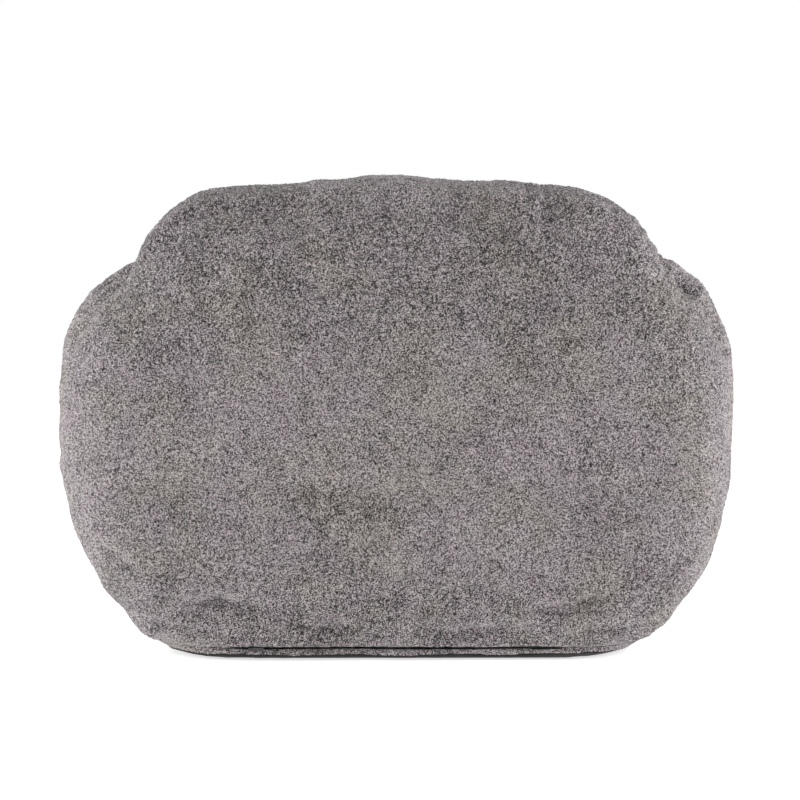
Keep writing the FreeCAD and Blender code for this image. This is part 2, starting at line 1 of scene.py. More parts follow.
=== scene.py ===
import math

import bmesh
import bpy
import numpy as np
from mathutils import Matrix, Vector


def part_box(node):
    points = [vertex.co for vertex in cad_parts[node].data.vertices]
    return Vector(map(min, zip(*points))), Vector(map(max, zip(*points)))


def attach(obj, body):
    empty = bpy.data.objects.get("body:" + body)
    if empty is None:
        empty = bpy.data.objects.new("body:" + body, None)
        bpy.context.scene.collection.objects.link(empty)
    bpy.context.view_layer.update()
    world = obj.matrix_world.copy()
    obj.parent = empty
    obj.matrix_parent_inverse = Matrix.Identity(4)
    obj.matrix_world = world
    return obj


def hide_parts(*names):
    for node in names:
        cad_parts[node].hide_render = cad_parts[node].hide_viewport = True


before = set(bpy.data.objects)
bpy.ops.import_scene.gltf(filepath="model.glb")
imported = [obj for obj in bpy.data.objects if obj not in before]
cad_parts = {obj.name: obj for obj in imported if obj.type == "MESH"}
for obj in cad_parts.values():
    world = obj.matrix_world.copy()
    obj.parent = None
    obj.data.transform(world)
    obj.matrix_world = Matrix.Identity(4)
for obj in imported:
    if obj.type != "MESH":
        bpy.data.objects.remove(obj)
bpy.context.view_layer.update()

# Looks for the bean bag armchair: pile cover, liner, foam and zips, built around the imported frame.
#
# The sewn body is one smooth implicit shape made of puffy lobes.  It is meshed, softened by a short
# cloth simulation, refined, cut along its seams into the cover's panels, given a curly pile in real
# geometry, and closed into shells that stand for the CAD panels.

import openvdb
from mathutils import Vector
from mathutils.bvhtree import BVHTree
from mathutils.kdtree import KDTree

# Places read from the frame ------------------------------------------------------------------
REAR_LOW, REAR_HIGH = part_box("rear_panel")
BACK_LOW, BACK_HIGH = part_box("backrest_panel")
ARM_LOW, ARM_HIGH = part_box("left_arm_outer_panel")
ARM_INNER_LOW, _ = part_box("left_arm_inner_panel")
SEAT_LOW, SEAT_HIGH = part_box("seat_panel")
COIL_LOW, COIL_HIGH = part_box("cover_zip_upper_coil")
LOWER_COIL_LOW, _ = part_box("cover_zip_lower_coil")
LINER_TAPE_LOW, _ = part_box("liner_zip_upper_tape")
_, LINER_LOWER_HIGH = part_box("liner_zip_lower_tape")

ZIP_Z = (COIL_HIGH.z + LOWER_COIL_LOW.z) / 2
ZIP_HALF = COIL_HIGH.x + 0.002
PULL_LOW, PULL_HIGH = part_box("cover_zip_pull")
PULL_X = (PULL_LOW.x + PULL_HIGH.x) / 2
SLIDER_LOW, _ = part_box("cover_zip_slider")
SLIDER_FACE_Y = SLIDER_LOW.y + 0.0051   # outer face of the slider's outer plate
LINER_ZIP_Z = (LINER_TAPE_LOW.z + LINER_LOWER_HIGH.z) / 2

# Seams of the cover
SEAM_Y = REAR_LOW.y + 0.003         # rear panel to arm, low down
RIDGE_SEAM_Y = REAR_LOW.y + 0.047   # rear panel to backrest, along the crest
ARM_SEAM_X = ARM_LOW.x + 0.006      # inner to outer arm panel
SEAT_SEAM_Z = SEAT_LOW.z + 0.006    # seat to front panel
BASE_RIM_Z = 0.0112                 # base cloth to pile
RIM_WAVE = 0.0024                   # how far that seam wanders up and down
LEAST_OPENING = 0.0018              # half the slit that the zip slider's neck runs in

# Shape of the body
SWELL = 0.009    # how much smaller the cloth starts, before it is blown up
SKIN_INSET = 0.003          # the woven backing lies this far inside the CAD panel's face
PANEL_THICKNESS = 0.0105    # from the backing's outer face to the panel's inner face
LEAN = math.radians(9)      # of the backrest
HEAD_SHIFT = 0.010          # the stuffing has settled a little to one side
HEAD_TILT = 0.007
VOXEL = 0.0105              # of the first mesh; two refinements follow

# Inner bags: how far inside the CAD panels' faces, and the gap kept to the cover's inner face
LINER_INSET, LINER_GAP = 0.0200, 0.0012
FILL_INSET, FILL_GAP = 0.0225, 0.0062
LINER_CLOTH = 0.0014        # thickness
LINER_MOUTH = 0.0056        # half the opening over the liner's zip
FLOOR_PAD = 0.0012          # the body's underside lies this high above the floor
BASE_CLOTH = 0.0018         # thickness


# Noise ---------------------------------------------------------------------------------------
def lattice(ix, iy, iz, seed):
    """Repeatable random numbers from 0 to 1 at integer lattice points; uint32 sums wrap round."""
    h = (ix.astype(np.uint32) * np.uint32(374761393)
         + iy.astype(np.uint32) * np.uint32(668265263)
         + iz.astype(np.uint32) * np.uint32(2246822519)
         + np.uint32(seed * 3266489917 % 2 ** 32))
    h = (h ^ (h >> np.uint32(13))) * np.uint32(1274126177)
    h = h ^ (h >> np.uint32(16))
    return (h & np.uint32(0xFFFFFF)).astype(np.float32) / np.float32(0x1000000)


def smooth_noise(points, size, seed):
    """Smooth noise from -1 to 1 whose lumps are about size across."""
    q = points / size
    cell = np.floor(q).astype(np.int64)
    t = (q - cell).astype(np.float32)
    t = t * t * (3 - 2 * t)
    total = np.zeros(len(points), np.float32)
    for dx in (0, 1):
        for dy in (0, 1):
            for dz in (0, 1):
                weight = ((t[:, 0] if dx else 1 - t[:, 0]) * (t[:, 1] if dy else 1 - t[:, 1])
                          * (t[:, 2] if dz else 1 - t[:, 2]))
                total += weight * lattice(cell[:, 0] + dx, cell[:, 1] + dy, cell[:, 2] + dz, seed)
    return total * 2 - 1


def tufts(points, size, seed):
    """Distances to the nearest and next nearest tuft centre, in tuft sizes."""
    q = (points / size).astype(np.float32)
    cell = np.floor(q).astype(np.int64)
    first = np.full(len(points), 9, np.float32)
    second = np.full(len(points), 9, np.float32)
    for dx in (-1, 0, 1):
        for dy in (-1, 0, 1):
            for dz in (-1, 0, 1):
                cx, cy, cz = cell[:, 0] + dx, cell[:, 1] + dy, cell[:, 2] + dz
                away = np.zeros(len(points), np.float32)
                for axis, (c, salt) in enumerate(((cx, 0), (cy, 1), (cz, 2))):
                    centre = c + lattice(cx, cy, cz, seed + salt)
                    away += (q[:, axis] - centre.astype(np.float32)) ** 2
                second = np.minimum(second, np.maximum(first, away))
                first = np.minimum(first, away)
    return np.sqrt(first), np.sqrt(second)


def ramp(value, low, high):
    """0 below low, 1 above high, smooth in between."""
    t = np.clip((value - low) / (high - low), 0, 1)
    return t * t * (3 - 2 * t)


def mix(a, b, t):
    """From a at t = 0 to b at t = 1."""
    return a + (b - a) * t


def base_rim(points):
    """Height of the wavy seam between the base cloth and the pile panels."""
    along = points * np.array([1, 1, 0])
    wave = smooth_noise(along, 0.085, 91) + 0.5 * smooth_noise(along, 0.034, 92)
    return BASE_RIM_Z + RIM_WAVE * wave


# The implicit body ---------------------------------------------------------------------------
def rounded_outline(u, v, u_low, u_high, v_low, v_high, radii):
    """Signed distance to a 2-D outline.

    Its corner radii are low high-u, top high-u, top low-u and low low-u.
    """
    du, dv = u - (u_low + u_high) / 2, v - (v_low + v_high) / 2
    right, top = du > 0, dv > 0
    radius = np.where(top, np.where(right, radii[1], radii[2]), np.where(right, radii[0], radii[3]))
    qu = np.abs(du) - (u_high - u_low) / 2 + radius
    qv = np.abs(dv) - (v_high - v_low) / 2 + radius
    return np.minimum(np.maximum(qu, qv), 0) + np.hypot(np.maximum(qu, 0), np.maximum(qv, 0)) - radius


def rounded_end(outline, end, radius):
    """Close an outline's prism with an end whose rim is round."""
    a, b = outline + radius, end + radius
    return np.minimum(np.maximum(a, b), 0) + np.hypot(np.maximum(a, 0), np.maximum(b, 0)) - radius


def rear_lobe(x, y, z):
    """The slab seen from behind: a wide body and a narrower head above the arms."""
    half, top = REAR_HIGH.x - SKIN_INSET + 0.008, REAR_HIGH.z - SKIN_INSET
    body = rounded_outline(x, z, -half, half, -0.052, 0.722, (0.40, 0.28, 0.28, 0.40))
    head_half = BACK_HIGH.x + 0.016
    across = x - HEAD_SHIFT
    head_top = top + 0.009 - 0.036 * (across / head_half) ** 2 + HEAD_TILT * across / head_half
    head = rounded_outline(across, z - head_top, -head_half, head_half, -0.5, 0, (0.2, 0.15, 0.15, 0.2))
    outline = join(body, head, 0.035)
    crown = 0.034 * ((x / half) ** 2 + ((z - 0.36) / 0.45) ** 2)
    face = y - (REAR_HIGH.y - SKIN_INSET - crown * ramp(z, 0.10, 0.36))
    rim = mix(0.084, 0.105, ramp(z, 0.1, 0.3))
    return np.maximum(rounded_end(outline, face, rim), 0.30 - y)


def back_lobe(x, y, z):
    """The backrest's front and top, leaning back, with a crest that sinks to its sides."""
    half, top = BACK_HIGH.x + 0.008, BACK_HIGH.z + 0.001
    across = x - HEAD_SHIFT * ramp(z, 0.5, 0.7)
    crest = top - 0.035 * (across / half) ** 2 + HEAD_TILT * across / half
    outline = rounded_outline(across, z - crest, -half, half, -0.9, 0, (0.32, 0.16, 0.16, 0.32))
    crown = 0.05 * (x / half) ** 2 + 0.10 * np.maximum(0, z - 0.62) ** 2 / 0.04
    front = BACK_LOW.y + SKIN_INSET + (z - SEAT_HIGH.z) * math.tan(LEAN) + crown
    ends = rounded_end(outline, (front - y) * math.cos(LEAN), 0.095)
    return np.maximum(ends, y - 0.40)


def arm_lobe(x, y, z):
    """The arm on the +X side."""
    along = np.clip((y - ARM_LOW.y) / (ARM_HIGH.y - ARM_LOW.y), 0, 1)
    taper = mix(0.012, 0.040, ramp(z, 0.395, 0.415))
    outer = mix(0.594, ARM_HIGH.x - 0.004, along) - taper * ((z - 0.405) / 0.27) ** 2
    top = mix(0.588, ARM_HIGH.z + 0.048, along) - SKIN_INSET
    inner = ARM_INNER_LOW.x + SKIN_INSET
    wide = rounded_outline(x - outer, z - top, -0.9, 0, -1.0, 0, (0.32, 0.205, 0.3, 0.3))
    low = rounded_outline(x - outer, z, -0.9, 0, 0.001, 1.6, (0.326, 0.3, 0.3, 0.3))
    edge = mix(0.03, 0.105, ramp(z, 0.15, 0.35))
    outline = rounded_end(np.maximum(wide, low), inner - x, edge)
    bulge = 0.017 * (((x - 0.465) / 0.15) ** 2 + ((z - 0.33) / 0.32) ** 2)
    front = rounded_end(outline, ARM_LOW.y + SKIN_INSET + bulge - y, 0.10)
    rear = rounded_end(outline, y - ARM_HIGH.y, 0.065)
    return np.maximum(front, rear)


def seat_lobe(x, y, z, half=SEAT_HIGH.x):
    """The seat cushion between the arms, crowned across and rounded at its front edge."""
    top = SEAT_HIGH.z - SKIN_INSET - 0.030 * (x / half) ** 2 - 0.02 * ramp(y, -0.1, 0.2)
    front = SEAT_LOW.y + SKIN_INSET + 0.022 * (x / half) ** 2 + 0.012 * ((z - 0.17) / 0.2) ** 2
    corner = 0.125
    profile_a, profile_b = (front - y) + corner, (z - top) + corner
    profile = (np.minimum(np.maximum(profile_a, profile_b), 0)
               + np.hypot(np.maximum(profile_a, 0), np.maximum(profile_b, 0)) - corner)
    side = rounded_end(profile, np.abs(x) - half, 0.045)
    return np.maximum(side, y - 0.30)


def join(a, b, width):
    """Smooth union: the crease between a and b is filled over width."""
    h = np.maximum(width - np.abs(a - b), 0) / width
    return np.minimum(a, b) - h * h * width / 4


def body_distance(points):
    """Signed distance of the whole sewn body, and of its lobes."""
    x, y, z = points[:, 0], points[:, 1], points[:, 2]
    rear, back = rear_lobe(x, y, z), back_lobe(x, y, z)
    arm, seat = arm_lobe(np.abs(x), y, z), seat_lobe(x, y, z)
    slab = join(rear, back, 0.05)
    sides = join(slab, arm, 0.028)
    whole = join(sides, seat, 0.022)
    floor = FLOOR_PAD - z
    turn = mix(0.009, 0.034, ramp(np.abs(x), 0.28, 0.42))
    h = np.maximum(turn - np.abs(whole - floor), 0) / turn
    return np.maximum(whole, floor) + h * h * turn / 4, (rear, back, arm, seat)


# Meshing -------------------------------------------------------------------------------------
def isosurface(distance, low, high, voxel):
    """Quads on the zero set of a distance function inside a box."""
    counts = [int(math.ceil((high[i] - low[i]) / voxel)) + 1 for i in range(3)]
    axes = [low[i] + voxel * np.arange(counts[i]) for i in range(3)]
    grid = np.stack(np.meshgrid(*axes, indexing="ij"), -1).reshape(-1, 3)
    values = distance(grid).reshape(counts).astype(np.float32)
    volume = openvdb.FloatGrid(float(values.max()))
    volume.copyFromArray(values)
    points, quads = volume.convertToQuads(isovalue=0.0)
    return points.astype(float) * voxel + np.array(low), quads.astype(np.int64)


def slope_of(field, points, step=1e-4):
    """A field's values at points, and its gradient by small steps."""
    value = field(points)
    gradient = np.empty_like(points)
    for axis in range(3):
        shifted = points.copy()
        shifted[:, axis] += step
        gradient[:, axis] = (field(shifted) - value) / step
    return value, gradient


def project(points, distance, rounds):
    """Move points onto the zero set of a distance function."""
    for _ in range(rounds):
        value, slope = slope_of(distance, points)
        size = np.maximum((slope ** 2).sum(1), 0.15)
        points = points - np.clip(value, -0.01, 0.01)[:, None] * slope / size[:, None]
    return points


def sums(index, values, count):
    """Add up the rows of values that share an index."""
    return np.stack([np.bincount(index, values[:, k], count) for k in range(values.shape[1])], -1)


def quad_edges(quads):
    """Unique edges, and each quad's four edge numbers."""
    pairs = np.stack([quads, np.roll(quads, -1, axis=1)], -1).reshape(-1, 2)
    keys = pairs.min(1) * (quads.max() + 1) + pairs.max(1)
    _, first, inverse = np.unique(keys, return_index=True, return_inverse=True)
    return np.sort(pairs[first], axis=1), inverse.reshape(-1, 4)


def relax(values, edges, rounds):
    """Average a field with its neighbours along the edges."""
    count = len(values)
    degree = np.bincount(edges.ravel(), minlength=count)[:, None]
    values = values.reshape(count, -1)
    for _ in range(rounds):
        total = (sums(edges[:, 0], values[edges[:, 1]], count)
                 + sums(edges[:, 1], values[edges[:, 0]], count))
        values = (values + total / degree) / 2
    return values


def vertex_normals(points, quads):
    """Area-weighted normals."""
    across = np.cross(points[quads[:, 2]] - points[quads[:, 0]],
                      points[quads[:, 3]] - points[quads[:, 1]])
    total = sums(quads.ravel(), np.repeat(across, 4, axis=0), len(points))
    return total / np.maximum(np.linalg.norm(total, axis=1, keepdims=True), 1e-12)


def new_object(name, points, faces, smooth=True):
    """A Blender object from points and a list or array of faces."""
    mesh = bpy.data.meshes.new(name)
    face_list = faces if isinstance(faces, list) else faces.tolist()
    mesh.from_pydata(np.asarray(points).tolist(), [], face_list)
    mesh.polygons.foreach_set("use_smooth", [smooth] * len(mesh.polygons))
    made = bpy.data.objects.new(name, mesh)
    bpy.context.scene.collection.objects.link(made)
    return made


def catmull(quads, *fields):
    """One Catmull-Clark step on a closed quad mesh, for any number of vertex fields."""
    edges, of_quad = quad_edges(quads)
    count, faces = len(fields[0]), len(quads)
    corners = np.bincount(quads.ravel(), minlength=count)[:, None]
    made = []
    for field in fields:
        centre = field[quads].mean(1)
        middle = (field[edges[:, 0]] + field[edges[:, 1]]) / 2
        beside = sums(of_quad.ravel(), np.repeat(centre, 4, axis=0), len(edges)) / 2
        around = sums(quads.ravel(), np.repeat(centre, 4, axis=0), count) / corners
        along = sums(edges.ravel(), np.repeat(middle, 2, axis=0), count) / corners
        old = (around + 2 * along + (corners - 3) * field) / corners
        made.append(np.concatenate([old, (middle + beside) / 2, centre]))
    edge_index = count + of_quad
    centre_index = count + len(edges) + np.arange(faces)
    children = [np.stack([quads[:, c], edge_index[:, c], centre_index, edge_index[:, c - 1]], -1)
                for c in range(4)]
    return (np.stack(children, 1).reshape(-1, 4), *made)


def inflate(points, quads, held):
    """A short cloth simulation: the cloth swells between its held points, which are from 0 to 1."""
    frames, cap = 16, 0.014
    cloth = new_object("swelling_cloth", points, quads)
    group = cloth.vertex_groups.new(name="held")
    for level in range(1, 11):
        chosen = np.flatnonzero(np.round(held * 10) == level)
        if len(chosen):
            group.add(chosen.tolist(), level / 10, "REPLACE")
    modifier = cloth.modifiers.new("Cloth", "CLOTH")
    for name, value in {
            "quality": 5, "mass": 0.35, "tension_stiffness": 18, "compression_stiffness": 18,
            "shear_stiffness": 6, "bending_stiffness": 1.2, "air_damping": 2, "use_pressure": True,
            "uniform_pressure_force": 4.0, "shrink_min": -0.03, "vertex_group_mass": "held",
            "pin_stiffness": 1}.items():
        setattr(modifier.settings, name, value)
    modifier.settings.effector_weights.gravity = 0
    modifier.collision_settings.use_collision = False
    modifier.point_cache.frame_start = 1
    modifier.point_cache.frame_end = frames
    scene = bpy.context.scene
    for step in range(1, frames + 1):
        scene.frame_set(step)
    evaluated = cloth.evaluated_get(bpy.context.evaluated_depsgraph_get())
    result = np.empty(len(points) * 3, np.float32)
    evaluated.data.vertices.foreach_get("co", result)
    scene.frame_set(1)
    bpy.data.objects.remove(cloth)
    moved = result.reshape(-1, 3).astype(float) - points
    size = np.linalg.norm(moved, axis=1, keepdims=True)
    return points + moved * np.minimum(1, cap / np.maximum(size, 1e-9))


def stand_for(piece, node):
    """Hang a piece on the root body's empty and hide the CAD node that it stands for."""
    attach(piece, "root")
    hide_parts(node)
    return piece


# Cover panels --------------------------------------------------------------------------------
BASE, REAR, HEM, BACKREST, OUTER_L, OUTER_R, INNER_L, INNER_R, SEAT, FRONT = range(10)
PANELS = {
    REAR: ("rear_panel", "Rear_Panel_Pile"),
    HEM: ("rear_hem_band", "Rear_Hem_Pile"),
    BACKREST: ("backrest_panel", "Backrest_Pile"),
    OUTER_L: ("left_arm_outer_panel", "Left_Arm_Outer_Pile"),
    OUTER_R: ("right_arm_outer_panel", "Right_Arm_Outer_Pile"),
    INNER_L: ("left_arm_inner_panel", "Left_Arm_Inner_Pile"),
    INNER_R: ("right_arm_inner_panel", "Right_Arm_Inner_Pile"),
    SEAT: ("seat_panel", "Cushion_Top_Pile"),
    FRONT: ("front_panel", "Cushion_Front_Pile"),
}


def ridge_y(z):
    """Where the rear panel's seam runs: beside the arms low down, near the crest higher up."""
    return mix(SEAM_Y, RIDGE_SEAM_Y, ramp(z, 0.60, 0.72))


def seam_fields(points):
    """Fields by seam name, each zero on its seam."""
    _, (rear, back, arm, seat) = body_distance(points)
    x, y, z = points.T
    slab = np.minimum(rear, back)
    return {
        "slab_arm": slab - arm,
        "seat_rest": np.minimum(slab, arm) - seat,
        "ridge": y - ridge_y(z),
        "hem": z - ZIP_Z,
        "arm_top": np.abs(x) - ARM_SEAM_X,
        "seat_edge": z - SEAT_SEAM_Z,
        "rim": z - base_rim(points),
    }


def label(points):
    """The panel that each point of the skin belongs to."""
    f = seam_fields(points)
    left = points[:, 0] > 0
    arm = np.where(f["arm_top"] > 0, np.where(left, OUTER_L, OUTER_R), np.where(left, INNER_L, INNER_R))
    slab = np.where(f["ridge"] > 0, np.where(f["hem"] > 0, REAR, HEM), BACKREST)
    seat = np.where(f["seat_edge"] > 0, SEAT, FRONT)
    result = np.where(f["seat_rest"] > 0, seat, np.where(f["slab_arm"] > 0, arm, slab))
    return np.where(f["rim"] < 0, BASE, result)


SEAM_OF = {}
for pair, field in (((REAR, HEM), "hem"), ((REAR, BACKREST), "ridge"), ((HEM, BACKREST), "ridge"),
                    ((SEAT, FRONT), "seat_edge"), ((OUTER_L, INNER_L), "arm_top"),
                    ((OUTER_R, INNER_R), "arm_top")):
    SEAM_OF[pair] = field
for arm_panel in (OUTER_L, OUTER_R, INNER_L, INNER_R):
    for slab_panel in (REAR, HEM, BACKREST):
        SEAM_OF[slab_panel, arm_panel] = "slab_arm"
    for seat_panel in (SEAT, FRONT):
        SEAM_OF[arm_panel, seat_panel] = "seat_rest"
for slab_panel in (REAR, HEM, BACKREST):
    for seat_panel in (SEAT, FRONT):
        SEAM_OF[slab_panel, seat_panel] = "seat_rest"
for panel in PANELS:
    SEAM_OF[BASE, panel] = "rim"


def seam_edges(quads, labels):
    """Edges between two panels, as (vertex, vertex) pairs and the seam's name for each."""
    edges, of_quad = quad_edges(quads)
    low = np.full(len(edges), 99)
    high = np.full(len(edges), -1)
    np.minimum.at(low, of_quad.ravel(), np.repeat(labels, 4))
    np.maximum.at(high, of_quad.ravel(), np.repeat(labels, 4))
    chosen = np.flatnonzero(low != high)
    names = [SEAM_OF.get((a, b)) or SEAM_OF.get((b, a), "") for a, b in zip(low[chosen], high[chosen])]
    return edges[chosen], np.array(names)


def settle_on_seams(points, quads, labels):
    """Slide the vertices between panels onto their seam, so that seams run smoothly."""
    pairs, names = seam_edges(quads, labels)
    normals = vertex_normals(points, quads)
    moved = points.copy()
    for name in np.unique(names):
        if not name:
            continue
        chosen = np.unique(pairs[names == name])
        place, normal = moved[chosen].copy(), normals[chosen]
        start = place.copy()
        for _ in range(3):
            value, slope = slope_of(lambda p: seam_fields(p)[name], place)
            slope -= (slope * normal).sum(1, keepdims=True) * normal
            size = np.maximum((slope ** 2).sum(1, keepdims=True), 0.05)
            place = place - np.clip(value[:, None] * slope / size, -0.003, 0.003)
        offset = place - start
        length = np.linalg.norm(offset, axis=1, keepdims=True)
        moved[chosen] = start + offset * np.minimum(1, 0.0042 / np.maximum(length, 1e-9))
    return moved - points


def nearest_seam(points, sources):
    """Distance to the nearest seam point, and where that point is."""
    tree = KDTree(len(sources))
    for index, place in enumerate(sources.tolist()):
        tree.insert(place, index)
    tree.balance()
    found = [tree.find(place) for place in points.tolist()]
    return np.array([f[2] for f in found]), np.array([f[0][:] for f in found])


# Relief of the cover -------------------------------------------------------------------------
def crease_line(points, start, end, depth, width, seed):
    """A soft crease pressed into the rear face between two (x, z) points, wandering a little."""
    a, b = np.array(start), np.array(end)
    along = b - a
    length = np.hypot(*along)
    along /= length
    across = np.array([-along[1], along[0]])
    flat = points[:, [0, 2]] - a
    s = flat @ along
    wander = 0.007 * smooth_noise(np.stack([s, s * 0, s * 0], -1), 0.055, seed)
    t = flat @ across - wander
    fade = ramp(s, 0, length * 0.35) * ramp(length - s, 0, length * 0.35)
    lip = np.exp(-((t - 1.7 * width) / (1.2 * width)) ** 2)
    return -depth * fade * (np.exp(-(t / width) ** 2) - 0.45 * lip)


def seam_relief(points, near):
    """Height of the cloth beside its seams: stitched valleys, gathers and low buckles."""
    (ridge_d, ridge_at), (low_d, low_at), (plain_d, plain_at) = near
    high = 0.30 + 0.70 * ramp(ridge_at[:, 2], 0.40, 0.66)
    wide = smooth_noise(ridge_at, 0.045, 11) * high
    fine = smooth_noise(ridge_at, 0.016, 12) * high
    height = -0.0055 * np.exp(-(ridge_d / 0.0065) ** 2)
    height += (0.0085 * fine + 0.0150 * wide) * np.exp(-ridge_d / 0.045)
    height += 0.0120 * smooth_noise(ridge_at, 0.10, 13) * high * np.exp(-ridge_d / 0.08)
    height += -0.0060 * np.exp(-(plain_d / 0.0070) ** 2)
    height += (0.0042 * smooth_noise(plain_at, 0.020, 14)
               + 0.0085 * smooth_noise(plain_at, 0.055, 15)) * np.exp(-plain_d / 0.034)
    beside_hem = np.exp(-low_d / 0.028) * ramp(low_d, 0.003, 0.012)
    height += (0.0030 * smooth_noise(low_at, 0.022, 16)
               + 0.0060 * smooth_noise(low_at, 0.07, 17)) * beside_hem
    slack = ramp(0.20 - points[:, 2], 0, 0.16) * ramp(points[:, 2], 0.012, 0.05)
    stretched = points * np.array([0.42, 0.6, 1.0])
    height += 0.0075 * smooth_noise(stretched, 0.040, 18) * slack
    height += 0.0050 * smooth_noise(points, 0.13, 19) + 0.0024 * smooth_noise(points, 0.055, 20)
    return height


BUCKLES = (
    ((-0.40, 0.112), (-0.20, 0.083), 0.0105, 0.0095, 21),
    ((-0.47, 0.062), (-0.28, 0.046), 0.0080, 0.0085, 22),
    ((-0.24, 0.060), (-0.06, 0.052), 0.0060, 0.0080, 23),
    ((0.20, 0.088), (0.42, 0.118), 0.0105, 0.0095, 24),
    ((0.30, 0.050), (0.46, 0.068), 0.0080, 0.0085, 25),
    ((0.03, 0.056), (0.22, 0.066), 0.0060, 0.0080, 26),
    ((-0.53, 0.20), (-0.43, 0.135), 0.0050, 0.0100, 27),
    ((0.53, 0.21), (0.44, 0.14), 0.0050, 0.0100, 28),
)


def pile_height(points, amount, strain_and_shade):
    """The curly pile: its height, how deep each point lies, where it parts, and how loose it is.

    The pile parts into clumps where it is strained, as it does over folds. How deep each point lies,
    where it parts and how loose it is also darken the pile's colour as painted shade.
    """
    warp = np.stack([smooth_noise(points, 0.0085, seed) for seed in (31, 32, 33)], -1)
    curled = points + 0.0028 * warp
    first, second = tufts(curled, 0.0062, 40)
    dome = 1 - np.clip(first / 0.85, 0, 1) ** 2
    cleft = 1 - ramp(second - first, 0.0, 0.34)
    patch = smooth_noise(points, 0.028, 45)
    fine = smooth_noise(points, 0.0046, 46)
    bend = np.stack([smooth_noise(points, 0.017, seed) for seed in (47, 48, 49)], -1)
    one, two = tufts(points + 0.008 * bend, 0.0155, 50)
    ease = 0.45 * smooth_noise(points, 0.026, 54) + 0.35 * smooth_noise(points, 0.12, 55)
    loose = ramp(ease + strain_and_shade, -0.9, 1.5)
    parting = (1 - ramp(two - one, 0.0, 0.12)) * loose
    lift = 0.0020 * (dome - 0.5) - 0.0013 * cleft + 0.0007 * fine + 0.0006 * patch - 0.0020 * parting
    # How deep each point lies: it only darkens the pile's colour, as painted shade in the gaps between
    # tufts.
    depth = np.clip(0.55 * (1 - dome) + 0.6 * cleft - 0.12 * fine, 0, 1)
    return lift * amount, depth, parting, loose


def shell(name, points, faces, inner_faces, inner_points, rim_faces, attributes):
    """A closed panel: pile face, flat backing and rim, in one mesh, with its attributes."""
    used = np.unique(faces)
    renumber = np.full(len(points), -1)
    renumber[used] = np.arange(len(used))
    inner_used = np.unique(inner_faces)
    inner_number = np.full(len(inner_points), -1)
    inner_number[inner_used] = len(used) + np.arange(len(inner_used))
    all_points = np.concatenate([points[used], inner_points[inner_used]])
    face_list = renumber[faces].tolist() + inner_number[inner_faces][:, ::-1].tolist()
    for outer_run, inner_pair in rim_faces:
        face_list.append([int(renumber[v]) for v in outer_run]
                         + [int(inner_number[v]) for v in inner_pair])
    made = new_object(name, all_points, face_list)
    for title, values in attributes.items():
        attribute = made.data.attributes.new(title, "FLOAT", "POINT")
        # The backing and rims get a dark value in every attribute: painted shade on the hidden inside
        # of the panel.
        everywhere = np.concatenate([values[used], np.full(len(inner_used), 0.8)])
        attribute.data.foreach_set("value", everywhere.astype(np.float32))
    rim_flags = np.zeros(len(made.data.polygons), bool)
    rim_flags[len(faces) + len(inner_faces):] = True
    made.data.polygons.foreach_set("use_smooth", ~rim_flags)
    return made


def blown_up(points, quads):
    """The skin after its cloth simulation: seams are held, and rims keep most of their swell."""
    held = 1 - ramp(points[:, 2], 0.015, 0.06)
    fields = seam_fields(points)
    for name, grip in (("slab_arm", 0.9), ("seat_rest", 0.9), ("seat_edge", 0.5)):
        held = np.maximum(held, grip * (1 - ramp(np.abs(fields[name]), 0.006, 0.022)))
    shape = points
    shape = inflate(points, quads, held)
    outward = vertex_normals(points, quads)
    lift = ((shape - points) * outward).sum(1)
    least = 0.85 * SWELL * (1 - 0.6 * held)
    shape = shape + np.maximum(least - lift, 0)[:, None] * outward
    shape[:, 2] = np.maximum(shape[:, 2], points[:, 2].clip(max=FLOOR_PAD))
    return shape


def body_relief(rest, near):
    """Everything that stands up or sinks in on the skin, other than the pile."""
    relief = seam_relief(rest, near)
    rear_face = ramp(rest[:, 1], 0.40, 0.44)
    outward, above_floor = np.abs(rest[:, 0]), rest[:, 2]
    slump = 0.0075 * smooth_noise(rest, 0.19, 29) + 0.0040 * smooth_noise(rest, 0.08, 30)
    slump *= ramp(above_floor, 0.02, 0.10) * (1 - 0.4 * ramp(outward, 0.5, 0.6))
    relief += slump * (1 - rear_face)
    relief *= mix(1, ramp(above_floor, 0.004, 0.06), ramp(outward, 0.30, 0.40))
    for start, end, depth, width, seed in BUCKLES:
        relief += rear_face * crease_line(rest, start, end, depth, width, seed)
    return relief


def panel_rims(quads, labels, count):
    """Each panel's border: (start, end, middle) vertices, the middle one on the finer mesh."""
    _, of_quad = quad_edges(quads)
    sides = np.argsort(of_quad.ravel(), kind="stable").reshape(-1, 2)
    border = np.flatnonzero(labels[sides[:, 0] // 4] != labels[sides[:, 1] // 4])
    rims = {panel: [] for panel in range(10)}
    for edge in border.tolist():
        for side in sides[edge].tolist():
            face, corner = divmod(side, 4)
            start, end = int(quads[face, corner]), int(quads[face, (corner + 1) % 4])
            rims[int(labels[face])].append((start, end, count + edge))
    return rims


